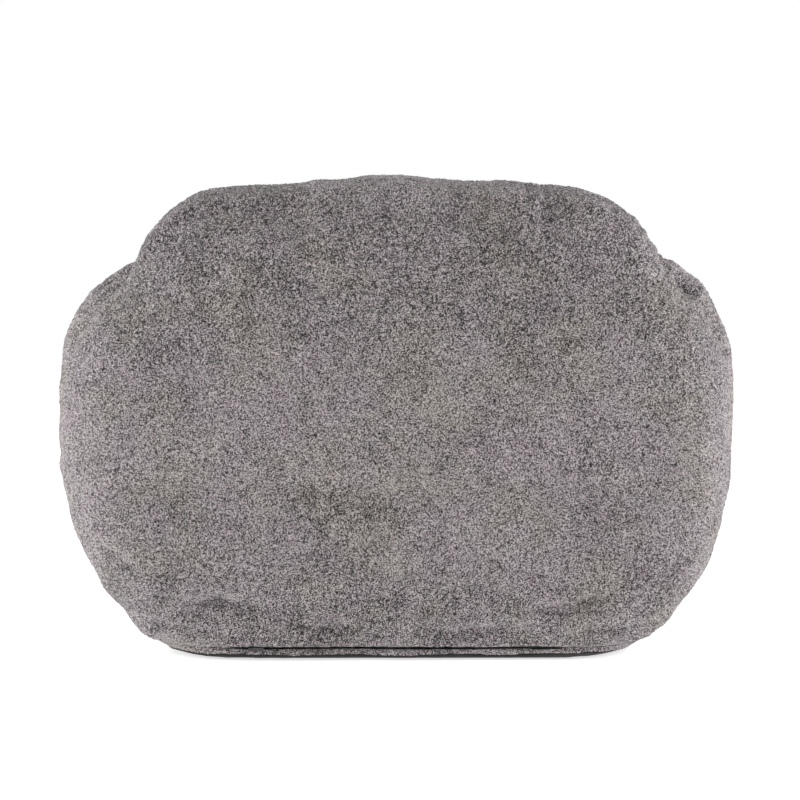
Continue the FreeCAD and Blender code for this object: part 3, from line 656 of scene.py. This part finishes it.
def make_cover():
    """The cover's pile panels and the base cloth, all from one skin, and the skin's inner face."""
    low, high = (-0.66, -0.53, -0.02), (0.66, 0.53, 0.88)

    def deflated(p):
        return body_distance(p)[0] + SWELL * ramp(p[:, 2], 0.02, 0.10)

    points, quads = isosurface(deflated, low, high, VOXEL)
    points = project(points, deflated, 2)
    if (vertex_normals(points, quads) * (points - [0, 0, 0.4])).sum() < 0:
        quads = quads[:, ::-1].copy()
    edges, _ = quad_edges(quads)
    points = project(mix(points, relax(points, edges, 2), 0.8), deflated, 1)
    shape = blown_up(points, quads)

    # the panels' mesh: rest is the plain body, which noise and seams are read from
    quads, rest, shape = catmull(quads, points, shape)
    labels = label(rest[quads].mean(1))
    shift = settle_on_seams(rest, quads, labels)
    rest, shape = rest + shift, shape + shift
    pairs, names = seam_edges(quads, labels)
    near = []
    for group in (("ridge",), ("hem",), ("slab_arm", "seat_rest", "arm_top", "seat_edge")):
        sources = rest[np.unique(pairs[np.isin(names, group)])]
        near.append(nearest_seam(rest, sources))
    relief = body_relief(rest, near)
    # Distance to the nearest seam, and how deep the relief sinks there: both make the pile darker as
    # painted shade in seam valleys, creases and buckles.
    seam_near = np.stack([np.minimum(near[0][0], near[2][0]), -np.minimum(relief, 0)], -1)
    relief *= ramp(rest[:, 2], 0.002, 0.012)
    relief = np.where(relief < 0, -0.012 * np.tanh(-relief / 0.012), relief)
    shape = shape + relief[:, None] * vertex_normals(shape, quads)
    inner = shape - PANEL_THICKNESS * vertex_normals(shape, quads)
    inner[:, 2] = np.maximum(inner[:, 2], 0.0035)

    # the pile's mesh
    fine_quads, fine_rest, fine_shape, fine_near = catmull(quads, rest, shape, seam_near)
    fine_labels = np.repeat(labels, 4)
    # Beside seams the pile is lower, and it is painted darker there as shade in the seam's valley.
    bare = np.exp(-(fine_near[:, 0] / 0.0035) ** 2)
    # The pile parts more where the relief sinks and towards the top and the bottom. The same field
    # paints those places darker as shade.
    strain_and_shade = 40 * fine_near[:, 1] - 0.25
    strain_and_shade += 0.60 * ramp(fine_rest[:, 2], 0.42, 0.68) + 0.45 * ramp(0.22 - fine_rest[:, 2], 0, 0.12)
    lift, depth, parting, loose = pile_height(fine_rest, 1 - 0.45 * bare, strain_and_shade)
    depth = np.clip(depth + 0.5 * bare, 0, 1)
    lift *= ramp(fine_rest[:, 2] - base_rim(fine_rest), -0.004, 0.004)
    fine_shape = fine_shape + lift[:, None] * vertex_normals(fine_shape, fine_quads)

    made = {}
    rims = panel_rims(quads, labels, len(rest))
    for panel, (node, name) in PANELS.items():
        faces, inner_faces = fine_quads[fine_labels == panel], quads[labels == panel]
        outside, inside = fine_shape.copy(), inner.copy()
        if panel in (REAR, HEM):
            side = 1 if panel == REAR else -1
            open_slit(side, outside, fine_rest, np.unique(faces), rolled=True)
            open_slit(side, inside, rest, np.unique(inner_faces), rolled=False)
        rim_faces = [((end, middle, start), (start, end)) for start, end, middle in rims[panel]]
        # The attributes hold painted shade for the pile's colour: the depth of its gaps, its partings
        # and its strained places.
        piece = shell(name, outside, faces, inner_faces, inside, rim_faces,
                      {"crevice_shade": depth, "parting": parting, "strain_and_shade": loose})
        made[panel] = stand_for(piece, node)
    made[BASE] = make_base(quads[labels == BASE], shape, rims[BASE])
    return made, BVHTree.FromPolygons(inner.tolist(), quads.tolist())


def open_slit(side, place, rest, mine, rolled):
    """Part the rear panel (side 1) or the hem band (side -1) from the zip, with a rolled lip."""
    distance = np.abs(rest[:, 2] - ZIP_Z)
    along = rest * np.array([1, 0, 0])
    wave = 0.0008 * side * smooth_noise(along, 0.045, 93) + 0.0005 * smooth_noise(along, 0.014, 94)
    opening = np.maximum(0.0022 + wave, LEAST_OPENING)
    opening += 0.0012 * np.exp(-((np.abs(rest[:, 0]) - PULL_X) / 0.016) ** 2)
    opening *= 1 - ramp(np.abs(rest[:, 0]), ZIP_HALF + 0.003, ZIP_HALF + 0.03)
    lip = np.zeros(len(place), bool)
    lip[mine] = True
    lip &= (distance < 0.012) & (rest[:, 1] > SEAM_Y)
    gap = ZIP_Z + side * np.maximum(distance, opening)
    blend_in = 1 - ramp(distance, 0.004, 0.012)
    place[lip, 2] = mix(place[lip, 2], gap[lip], blend_in[lip])
    if rolled:
        place[lip, 1] -= 0.0042 * np.exp(-(distance[lip] / 0.0042) ** 2)
    else:
        over = lip & (distance < 0.0095) & (np.abs(rest[:, 0]) < ZIP_HALF)
        place[over, 1] = np.maximum(place[over, 1], SLIDER_FACE_Y + 0.0010)


def make_base(faces, points, rim):
    """The black woven base cloth, a thin closed sheet turned up a little at its rim."""
    used = np.unique(faces)
    number = np.full(len(points), -1)
    number[used] = np.arange(len(used))
    outer = points[used].copy()
    outer[:, 2] = np.clip(outer[:, 2], 0.0006, BASE_RIM_Z + 2 * RIM_WAVE)
    own = number[faces]
    normals = vertex_normals(outer, own)
    inner = outer - BASE_CLOTH * normals
    count = len(used)
    face_list = own.tolist() + (own[:, ::-1] + count).tolist()
    face_list += [[int(number[b]), int(number[a]), int(number[a]) + count, int(number[b]) + count]
                  for a, b, _ in rim]
    piece = new_object("Base_Cloth", np.concatenate([outer, inner]), face_list)
    stand_for(piece, "base_panel")
    return piece


# Liner bags and foam -------------------------------------------------------------------------
def bag_distance(which, inset, seat_half):
    """Distance to one compartment, inset from the outside of the cover."""
    extra = inset - SKIN_INSET

    def overlap(a, b, width=0.03):
        return -join(-a, -b, width)

    def distance(points):
        x, y, z = points.T
        behind = 0.347 + (inset - LINER_INSET) - y
        back = back_lobe(x, y, z) + extra
        beside_back = 0.003 + (inset - LINER_INSET) - back_lobe(x, y, z)
        if which == "back":
            whole = join(np.maximum(rear_lobe(x, y, z) + extra, behind), back, 0.03)
        elif which == "seat":
            whole = overlap(seat_lobe(x, y, z, seat_half + extra) + extra, beside_back)
        else:
            side = 1 if which == "left" else -1
            whole = overlap(arm_lobe(side * x, y, z) + extra, beside_back)
        return overlap(whole, 0.004 + (inset - LINER_INSET) - z, 0.012)
    return distance


def keep_inside(points, skin, depth):
    """Pull points in wherever they come nearer than depth to the cover's inner face."""
    kept = points.copy()
    for index, place in enumerate(points.tolist()):
        nearest, normal, _, _ = skin.find_nearest(place)
        outside = (Vector(place) - nearest).dot(normal)
        if outside > -depth:
            kept[index] -= (outside + depth) * np.array(normal)
    return kept


def bag_surface(which, inset, voxel, seat_half):
    """One compartment's surface: smoothed quads facing outward, and their points."""
    low = {"back": (-0.56, 0.12, -0.01), "seat": (-0.35, -0.48, -0.01), "left": (0.30, -0.49, -0.01),
           "right": (-0.63, -0.49, -0.01)}[which]
    high = {"back": (0.56, 0.48, 0.83), "seat": (0.35, 0.32, 0.40), "left": (0.63, 0.36, 0.72),
            "right": (-0.30, 0.36, 0.72)}[which]
    distance = bag_distance(which, inset, seat_half)
    points, quads = isosurface(distance, low, high, voxel)
    points = project(points, distance, 2)
    middle = points.mean(0)
    if (vertex_normals(points, quads) * (points - middle)).sum() < 0:
        quads = quads[:, ::-1].copy()
    edges, _ = quad_edges(quads)
    points = project(mix(points, relax(points, edges, 2), 0.7), distance, 1)
    return catmull(quads, points)


def make_liner(which, node, name):
    """A bag of thin plain-woven cloth, wrinkled where it isn't filled tight."""
    quads, points = bag_surface(which, LINER_INSET, 0.0135, 0.326)
    normals = vertex_normals(points, quads)
    folds = smooth_noise(points * [0.5, 0.8, 1.6], 0.045, 61) + 0.6 * smooth_noise(points, 0.019, 62)
    quiet = np.ones(len(points))
    if which == "back":
        quiet = ramp(np.abs(points[:, 2] - LINER_ZIP_Z), 0.012, 0.05)
        quiet = np.maximum(quiet, ramp(np.abs(points[:, 0]), ZIP_HALF + 0.01, ZIP_HALF + 0.06))
        quiet[points[:, 1] < 0.42] = 1
    folds = -np.abs(folds) * 0.0028 * quiet
    points = keep_inside(points + folds[:, None] * normals, SKIN, LINER_GAP)
    keep = np.ones(len(quads), bool)
    if which == "back":
        middle = points[quads].mean(1)
        off = points[:, 2] - LINER_ZIP_Z
        mouth = np.abs(middle[:, 2] - LINER_ZIP_Z) < LINER_MOUTH
        mouth &= np.abs(middle[:, 0]) < ZIP_HALF + 0.002
        keep = ~(mouth & (middle[:, 1] > 0.42))
        lip = np.zeros(len(points), bool)
        lip[np.unique(quads[~keep])] = True
        lip &= np.abs(off) > LINER_MOUTH / 2
        points[lip, 2] = LINER_ZIP_Z + np.sign(off[lip]) * LINER_MOUTH
    normals = vertex_normals(points, quads)
    kept = quads[keep]
    inner = points - LINER_CLOTH * normals
    count = len(points)
    faces = kept.tolist() + (kept[:, ::-1] + count).tolist()
    if not keep.all():
        edges, of_quad = quad_edges(quads)
        uses = np.bincount(of_quad[keep].ravel(), minlength=len(edges))
        for face in np.flatnonzero(keep)[(uses[of_quad[keep]] == 1).any(1)]:
            for corner in range(4):
                if uses[of_quad[face, corner]] == 1:
                    a, b = int(quads[face, corner]), int(quads[face, (corner + 1) % 4])
                    faces.append([b, a, a + count, b + count])
    piece = new_object(name, np.concatenate([points, inner]), faces)
    loose = np.ones(2 * count, bool)
    loose[np.unique(np.concatenate([kept, kept + count]))] = False
    drop_loose(piece, loose)
    stand_for(piece, node)
    return piece


def drop_loose(piece, loose):
    """Delete vertices that no face uses."""
    if loose.any():
        work = bmesh.new()
        work.from_mesh(piece.data)
        work.verts.ensure_lookup_table()
        unused = [work.verts[int(i)] for i in np.flatnonzero(loose)]
        bmesh.ops.delete(work, geom=unused, context="VERTS")
        work.to_mesh(piece.data)
        work.free()


def make_fill(which, node, name):
    """Shredded foam, pressed into the shape of its bag: a closed lump with a chunky surface."""
    quads, points = bag_surface(which, FILL_INSET, 0.0125, 0.324)
    normals = vertex_normals(points, quads)
    warp = np.stack([smooth_noise(points, 0.03, seed) for seed in (71, 72, 73)], -1)
    first, second = tufts(points + 0.006 * warp, 0.024, 74)
    cleft = 1 - ramp(second - first, 0.0, 0.22)
    drop = 0.0042 * np.clip(first, 0, 1) ** 2 + 0.0040 * cleft
    drop += 0.0008 * smooth_noise(points, 0.009, 75)
    points = keep_inside(points - drop[:, None] * normals, SKIN, FILL_GAP)
    piece = new_object(name, points, quads)
    # The clefts between crumbs are kept to paint them darker, as shade.
    crevice_shade = piece.data.attributes.new("crevice_shade", "FLOAT", "POINT")
    crevice_shade.data.foreach_set("value", np.clip(cleft, 0, 1).astype(np.float32))
    stand_for(piece, node)
    return piece


# Zips ----------------------------------------------------------------------------------------
def tube(name, rings, smooth=True):
    """A closed tube through rings of points, all of the same length."""
    count, sides = rings.shape[:2]
    index = np.arange(count * sides).reshape(count, sides)
    beside = np.roll(index, -1, 1)
    faces = np.stack([index[:-1], beside[:-1], beside[1:], index[1:]], -1).reshape(-1, 4).tolist()
    faces += [index[0][::-1].tolist(), index[-1].tolist()]
    return new_object(name, rings.reshape(-1, 3), faces, smooth)


def make_coil(node, name):
    """One nylon coil of a zip chain: a helix along X, its loops reaching towards the other coil."""
    low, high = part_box(node)
    centre_y, centre_z = (low.y + high.y) / 2, (low.z + high.z) / 2
    wire = 0.00032
    pitch, steps, sides = 0.0016, 10, 5
    turns = int((high.x - low.x - 2 * wire) / pitch)
    angle = np.arange(turns * steps + 1) * 2 * math.pi / steps
    radius_y = (high.y - low.y) / 2 - wire
    radius_z = (high.z - low.z) / 2 - wire
    start = low.x + wire + ((high.x - low.x - 2 * wire) - turns * pitch) / 2
    path = np.stack([start + angle * pitch / (2 * math.pi), centre_y + radius_y * np.cos(angle),
                     centre_z + radius_z * np.sin(angle)], -1)
    along = np.gradient(path, axis=0)
    along /= np.linalg.norm(along, axis=1, keepdims=True)
    outward = np.stack([angle * 0, np.cos(angle), np.sin(angle)], -1)
    other = np.cross(along, outward)
    turn = np.arange(sides) * 2 * math.pi / sides
    rings = (path[:, None] + wire * (np.cos(turn)[None, :, None] * outward[:, None]
                                     + np.sin(turn)[None, :, None] * other[:, None]))
    return stand_for(tube(name, rings), node)


def make_tape(node, name, zip_z):
    """One woven zip tape with a fold where it is sewn on, ribbed along its length and stitched."""
    low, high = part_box(node)
    upward = 1 if (low.z + high.z) / 2 > zip_z else -1
    edge_z, end_z = (low.z, high.z) if upward > 0 else (high.z, max(low.z, BASE_RIM_Z + 0.0008))
    fold_z = edge_z + upward * 0.0044
    thin = 0.0008
    outward = 1 if abs(low.y - COIL_LOW.y) < 0.003 else -1
    free_y, sewn_y = (low.y, high.y) if outward > 0 else (high.y, low.y)
    thin_y = free_y + outward * thin
    profile = []
    rows = 11
    for row in range(rows + 1):
        profile.append((free_y, mix(edge_z, end_z, row / rows)))
    for row in range(rows + 1):
        z = mix(end_z, edge_z, row / rows)
        beyond = (z - fold_z) * upward > 0
        profile.append((sewn_y if beyond else thin_y, z))
    profile = np.array(profile)
    length = high.x - low.x
    count = int(length / 0.0018)
    x = low.x + length * np.arange(count + 1) / count
    ring = np.stack([np.repeat(x, len(profile)), np.tile(profile[:, 0], count + 1),
                     np.tile(profile[:, 1], count + 1)], -1)
    rib = 0.00006 * smooth_noise(ring * [0.3, 1, 1], 0.0016, 81)
    stitched = np.abs(ring[:, 2] - mix(edge_z, end_z, 0.62)) < 0.0012
    dimple = 0.00022 * stitched * (np.sin(ring[:, 0] * 2 * math.pi / 0.0036) > 0.3)
    ring[:, 1] += np.where(np.abs(ring[:, 1] - free_y) < 1e-6, outward * (dimple + np.abs(rib)), 0)
    rings = ring.reshape(count + 1, len(profile), 3)
    return stand_for(tube(name, rings, smooth=False), node)


# Materials -----------------------------------------------------------------------------------
class Nodes:
    """A material and short ways to add nodes to it."""

    def __init__(self, name):
        self.material = bpy.data.materials.new(name)
        self.material.use_nodes = True
        self.tree = self.material.node_tree
        self.shader = self.tree.nodes["Principled BSDF"]
        self.place = self.tree.nodes.new("ShaderNodeTexCoord").outputs["Object"]

    def link(self, source, target):
        """Feed an input from a socket, or set it to a plain value."""
        if isinstance(source, (int, float, tuple)):
            target.default_value = source
        else:
            self.tree.links.new(source, target)

    def add(self, kind, **inputs):
        """A new node with some of its inputs linked or set; _ stands for a space."""
        node = self.tree.nodes.new(f"ShaderNode{kind}")
        for name, source in inputs.items():
            self.link(source, node.inputs[name.replace("_", " ")])
        return node

    def noise(self, size, detail=2.0, roughness=0.55, place=None):
        """Noise from 0 to 1 whose lumps measure about size metres."""
        node = self.add("TexNoise", Scale=1 / size, Detail=detail, Roughness=roughness,
                        Vector=place or self.place)
        return node.outputs["Fac"]

    def cells(self, size, place=None, feature="F1"):
        """Distance to the nearest cell centre, or another Voronoi feature."""
        node = self.add("TexVoronoi", Scale=1 / size, Vector=place or self.place)
        node.feature = feature
        return node.outputs["Distance"]

    def warped(self, size, amount):
        """Object coordinates, pushed about by up to amount metres."""
        noise = self.add("TexNoise", Scale=1 / size, Detail=1, Vector=self.place)
        scaled = self.add("VectorMath")
        scaled.operation = "SCALE"
        self.link(amount, scaled.inputs["Scale"])
        self.link(noise.outputs["Color"], scaled.inputs[0])
        added = self.add("VectorMath")
        self.link(scaled.outputs[0], added.inputs[0])
        self.link(self.place, added.inputs[1])
        return added.outputs[0]

    def stretched(self, x, y, z):
        """Object coordinates scaled along each axis."""
        return self.add("Mapping", Scale=(x, y, z), Vector=self.place).outputs["Vector"]

    def math(self, operation, a, b=0.0, c=0.0):
        """The result of one Math node."""
        node = self.add("Math")
        node.operation = operation
        for value, target in zip((a, b, c), node.inputs):
            self.link(value, target)
        return node.outputs[0]

    def attribute(self, name):
        """A value stored on the mesh."""
        node = self.add("Attribute")
        node.attribute_name = name
        return node.outputs["Fac"]

    def colours(self, value, *stops):
        """A colour ramp with (position, colour) stops."""
        node = self.add("ValToRGB")
        elements = node.color_ramp.elements
        while len(elements) < len(stops):
            elements.new(0.5)
        for element, (position, colour) in zip(elements, stops):
            element.position = position
            element.color = (*colour, 1)
        self.link(value, node.inputs[0])
        return node.outputs["Color"]

    def multiply(self, first, second):
        """The product of two colours."""
        node = self.add("Mix")
        node.data_type = "RGBA"
        node.blend_type = "MULTIPLY"
        node.inputs["Factor"].default_value = 1
        colour_inputs = [socket for socket in node.inputs if socket.type == "RGBA"]
        self.link(first, colour_inputs[0])
        self.link(second, colour_inputs[1])
        return next(socket for socket in node.outputs if socket.type == "RGBA")

    def bump(self, height, distance, strength=0.8):
        """A bumped normal; distance is the height in metres that 1 stands for."""
        return self.add("Bump", Height=height, Distance=distance, Strength=strength).outputs["Normal"]

    def finish(self, colour, roughness, normal, **fixed):
        """Connect the shader; fixed sets more of its inputs, with _ for a space."""
        self.link(colour, self.shader.inputs["Base Color"])
        self.link(roughness, self.shader.inputs["Roughness"])
        self.link(normal, self.shader.inputs["Normal"])
        for name, value in fixed.items():
            self.shader.inputs[name.replace("_", " ")].default_value = value
        return self.material


def pile_material():
    """Curly pile: lit loop tips and shaded gaps painted into the colour, thin partings painted as dark
    lines of shade, and slow patches of real tone.
    """
    n = Nodes("Curly_Pile")
    place = n.warped(0.0040, 0.0026)
    # Curls and loops at the pile's scale: the gaps between curls are painted darker as shade, and the
    # loop tips are painted lighter as lit tips.
    curl = n.cells(0.0028, place)
    loops = n.noise(0.0023, 1, 0.6, place)
    fine = n.noise(0.0012, 1, 0.6)
    parting = n.cells(0.0125, n.warped(0.008, 0.012), "DISTANCE_TO_EDGE")
    where = n.noise(0.032, 2, 0.6)
    mottle = n.noise(0.060, 3, 0.6)
    patch = n.noise(0.25, 2, 0.5)
    # Thin dark lines along the pile's partings: painted shade, reaching further in strained places and
    # in patches.
    parting_shade_line = n.math("MAXIMUM", n.math("MULTIPLY_ADD", parting, -15, 1.0), 0.0)
    reach = n.math("MULTIPLY_ADD", n.attribute("strain_and_shade"), 2.2, n.math("MULTIPLY_ADD", where, 4.0, -2.5))
    parting_shade_line = n.math("MULTIPLY", parting_shade_line, n.math("MINIMUM", n.math("MAXIMUM", reach, 0.0), 1.0))
    # Darkness of each point: painted shade from the crevice depth, the parting lines, the strained
    # places and the curl gaps, painted light on the loop tips, and real tone from the mottle and
    # patches.
    dark = 0.0
    for field, share in ((n.attribute("crevice_shade"), 0.34), (parting_shade_line, 0.85), (n.attribute("strain_and_shade"), 0.06),
                         (n.attribute("parting"), 0.30), (curl, 0.75), (loops, -4.2), (fine, -3.0),
                         (mottle, -0.16), (patch, -0.16)):
        dark = n.math("MULTIPLY_ADD", field, share, dark)
    dark = n.math("ADD", dark, 3.725)
    colour = n.colours(dark, (0.0, (0.63, 0.580, 0.590)), (0.38, (0.450, 0.408, 0.416)),
                       (0.62, (0.282, 0.251, 0.258)), (0.82, (0.108, 0.094, 0.098)),
                       (1.0, (0.036, 0.031, 0.033)))
    tint = n.colours(n.noise(0.11, 2, 0.6), (0.38, (1.0, 0.975, 0.995)), (0.5, (0.99, 0.985, 0.975)),
                     (0.66, (0.985, 0.985, 0.915)))
    colour = n.multiply(colour, tint)
    height = n.math("MULTIPLY_ADD", parting_shade_line, -0.8, n.math("ADD", fine, loops))
    height = n.math("MULTIPLY_ADD", curl, -0.8, height)
    normal = n.bump(height, 0.0022)
    roughness = n.math("MULTIPLY_ADD", fine, 0.15, 0.85)
    return n.finish(colour, roughness, normal, Sheen_Weight=0.30, Sheen_Roughness=0.45,
                    Specular_IOR_Level=0.12)


def woven_material(name, warp_size, dark, light, wear, bump_depth):
    """Plain weave from two crossed bands of waves, with uneven yarns and faint wear."""
    n = Nodes(name)
    x, y, z = n.add("SeparateXYZ", Vector=n.place).outputs
    turn = 2 * math.pi / warp_size
    over = n.math("SINE", n.math("MULTIPLY", n.math("ADD", x, z), turn))
    under = n.math("SINE", n.math("MULTIPLY", n.math("SUBTRACT", y, z), turn))
    weave = n.math("MULTIPLY", over, under)
    yarn = n.noise(warp_size * 2.2, 2, 0.6)
    stain = n.noise(0.09, 3, 0.6)
    tone = n.math("MULTIPLY_ADD", weave, 0.16, n.math("MULTIPLY_ADD", yarn, 0.5, 0.05))
    tone = n.math("MULTIPLY_ADD", stain, wear, tone)
    colour = n.colours(tone, (0.1, dark), (0.9, light))
    height = n.math("MULTIPLY_ADD", yarn, 0.6, weave)
    normal = n.bump(height, bump_depth)
    roughness = n.math("MULTIPLY_ADD", stain, 0.2, 0.72)
    return n.finish(colour, roughness, normal, Sheen_Weight=0.15, Specular_IOR_Level=0.25)


def foam_material():
    """Shredded foam in cream and yellow crumbs, painted darker in the clefts between them as shade."""
    n = Nodes("Shredded_Foam")
    cell = n.cells(0.0016)
    lump = n.noise(0.02, 3, 0.6)
    hue = n.noise(0.05, 1, 0.5)
    tone = n.math("MULTIPLY_ADD", cell, -0.3, lump)
    # Painted shade in the clefts between crumbs.
    tone = n.math("MULTIPLY_ADD", n.attribute("crevice_shade"), -0.5, tone)
    tone = n.math("MULTIPLY_ADD", hue, 0.3, tone)
    colour = n.colours(tone, (0.0, (0.30, 0.23, 0.11)), (0.45, (0.66, 0.57, 0.36)),
                       (0.8, (0.84, 0.79, 0.62)))
    normal = n.bump(n.math("ADD", cell, lump), 0.0012, 0.8)
    return n.finish(colour, n.math("MULTIPLY_ADD", lump, 0.15, 0.8), normal, Specular_IOR_Level=0.2)


def tape_material():
    """Black ribbed zip tape."""
    n = Nodes("Zip_Tape_Weave")
    rib = n.noise(0.0009, 2, 0.5, n.stretched(0.35, 1, 1.6))
    dust = n.noise(0.02, 3, 0.6)
    tone = n.math("MULTIPLY_ADD", rib, 0.7, n.math("MULTIPLY", dust, 0.35))
    colour = n.colours(tone, (0.2, (0.016, 0.014, 0.014)), (0.85, (0.062, 0.056, 0.055)))
    return n.finish(colour, n.math("MULTIPLY_ADD", dust, 0.2, 0.7), n.bump(rib, 0.0004, 0.8),
                    Sheen_Weight=0.2, Specular_IOR_Level=0.25)


def nylon_material():
    """Black nylon of the zip coils."""
    n = Nodes("Nylon_Coil")
    grain = n.noise(0.0012, 2, 0.6)
    rub = n.noise(0.012, 3, 0.6)
    colour = n.colours(n.math("MULTIPLY_ADD", grain, 0.4, n.math("MULTIPLY", rub, 0.6)),
                       (0.25, (0.020, 0.019, 0.019)), (0.8, (0.075, 0.072, 0.070)))
    return n.finish(colour, n.math("MULTIPLY_ADD", rub, 0.3, 0.30), n.bump(grain, 0.00008, 0.6))


def lacquer_material():
    """Black lacquer for the metal of the zips, rubbed greyer in patches."""
    n = Nodes("Dark_Lacquered_Metal")
    speck = n.noise(0.0007, 2, 0.6)
    rub = n.noise(0.005, 3, 0.65)
    colour = n.colours(n.math("MULTIPLY_ADD", speck, 0.25, n.math("MULTIPLY", rub, 0.8)),
                       (0.3, (0.030, 0.028, 0.028)), (0.72, (0.085, 0.080, 0.078)),
                       (0.9, (0.30, 0.28, 0.26)))
    return n.finish(colour, n.math("MULTIPLY_ADD", rub, 0.35, 0.22), n.bump(speck, 0.00006, 0.5),
                    Metallic=0.6)


def floor_material():
    """The pale studio floor, which glows a little, as a white sweep does."""
    n = Nodes("Pale_Floor")
    cloud = n.noise(0.6, 3, 0.5)
    colour = n.colours(cloud, (0.3, (0.90, 0.90, 0.90)), (0.7, (0.93, 0.93, 0.93)))
    return n.finish(colour, n.math("MULTIPLY_ADD", cloud, 0.05, 0.9), n.bump(cloud, 0.0002, 0.1),
                    Emission_Color=(1, 1, 1, 1), Emission_Strength=0.62)


def paint(piece, material):
    """Give a piece one material in place of its own."""
    piece.data.materials.clear()
    piece.data.materials.append(material)


# Building ------------------------------------------------------------------------------------
pile = pile_material()
cover, SKIN = make_cover()
for panel in PANELS:
    paint(cover[panel], pile)
base_weave = woven_material("Base_Weave", 0.0022, (0.006, 0.006, 0.006), (0.035, 0.034, 0.034),
                            wear=0.4, bump_depth=0.0006)
paint(cover[BASE], base_weave)

liner_cloth = woven_material("Liner_Weave", 0.0014, (0.52, 0.51, 0.48), (0.80, 0.79, 0.76),
                             wear=0.35, bump_depth=0.0003)
foam = foam_material()
for which, node, title in (("back", "back", "Back"), ("seat", "seat", "Cushion"),
                           ("left", "left_arm", "Left_Arm"), ("right", "right_arm", "Right_Arm")):
    paint(make_liner(which, f"{node}_liner", f"{title}_Liner"), liner_cloth)
    paint(make_fill(which, f"{node}_fill", f"{title}_Foam"), foam)

tape, nylon, lacquer = tape_material(), nylon_material(), lacquer_material()
for zip_name, zip_z in (("cover", ZIP_Z), ("liner", LINER_ZIP_Z)):
    for half in ("upper", "lower"):
        node = f"{zip_name}_zip_{half}"
        title = f"{zip_name.title()}_Zip_{half.title()}"
        paint(make_tape(f"{node}_tape", f"{title}_Tape", zip_z), tape)
        paint(make_coil(f"{node}_coil", f"{title}_Coil"), nylon)
for node in ("cover_zip_top_stop", "cover_zip_bottom_stop", "liner_zip_top_stop",
             "liner_zip_bottom_stop", "cover_zip_slider", "liner_zip_slider", "cover_zip_pull"):
    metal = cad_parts[node]
    paint(metal, lacquer)
    rounding = metal.modifiers.new("Rounded_Edges", "BEVEL")
    rounding.width = 0.00022
    rounding.segments = 2
    rounding.limit_method = "ANGLE"


# Studio --------------------------------------------------------------------------------------
WORLD_LIGHT = 0.50
SIDE_POWER, OVERHEAD_POWER = 70, 30     # watts
SIDE_SIZE, OVERHEAD_SIZE = (1.8, 2.2), (4.0, 3.4)
AIM = Vector((0, 0, 0.4))               # what the lights point at


def add_light(name, place, size, power):
    """A soft rectangular light that points at the chair's middle."""
    data = bpy.data.lights.new(name, "AREA")
    data.shape = "RECTANGLE"
    data.size, data.size_y = size
    data.energy = power
    light = bpy.data.objects.new(name, data)
    bpy.context.scene.collection.objects.link(light)
    light.location = place
    light.rotation_euler = (AIM - Vector(place)).to_track_quat("-Z", "Y").to_euler()


floor = new_object("Floor", [(-30, -30, 0), (30, -30, 0), (30, 30, 0), (-30, 30, 0)], [[0, 1, 2, 3]],
                   smooth=False)
floor.location.z = -0.0005
paint(floor, floor_material())

bpy.context.scene.view_settings.view_transform = "Standard"
world = bpy.data.worlds.new("Studio")
world.use_nodes = True
backdrop = world.node_tree.nodes["Background"]
backdrop.inputs["Color"].default_value = (1, 1, 1, 1)
seen = world.node_tree.nodes.new("ShaderNodeLightPath").outputs["Is Camera Ray"]
strength = world.node_tree.nodes.new("ShaderNodeMapRange")
strength.inputs["To Min"].default_value = WORLD_LIGHT
strength.inputs["To Max"].default_value = 1.0
world.node_tree.links.new(seen, strength.inputs["Value"])
world.node_tree.links.new(strength.outputs["Result"], backdrop.inputs["Strength"])
bpy.context.scene.world = world
add_light("Side_Left", (3.2, 0.6, 1.2), SIDE_SIZE, SIDE_POWER)
add_light("Side_Right", (-3.2, 0.6, 1.2), SIDE_SIZE, SIDE_POWER)
add_light("Overhead", (0, -0.2, 3.4), OVERHEAD_SIZE, OVERHEAD_POWER)

# Camera, behind the chair --------------------------------------------------------------------
CAMERA_DISTANCE = 3.5
CAMERA_ELEVATION = math.radians(5)
CAMERA_LENS = 79.2                      # millimetres, on a 36 mm sensor
CAMERA_TARGET = Vector((-0.0037, 0, 0.4130))
camera_data = bpy.data.cameras.new("Camera")
camera_data.sensor_width = 36
camera_data.lens = CAMERA_LENS
camera = bpy.data.objects.new("Camera", camera_data)
bpy.context.scene.collection.objects.link(camera)
towards_camera = Vector((0, math.cos(CAMERA_ELEVATION), math.sin(CAMERA_ELEVATION)))
camera.location = CAMERA_TARGET + CAMERA_DISTANCE * towards_camera
camera.rotation_euler = (CAMERA_TARGET - camera.location).to_track_quat("-Z", "Y").to_euler()
bpy.context.scene.camera = camera
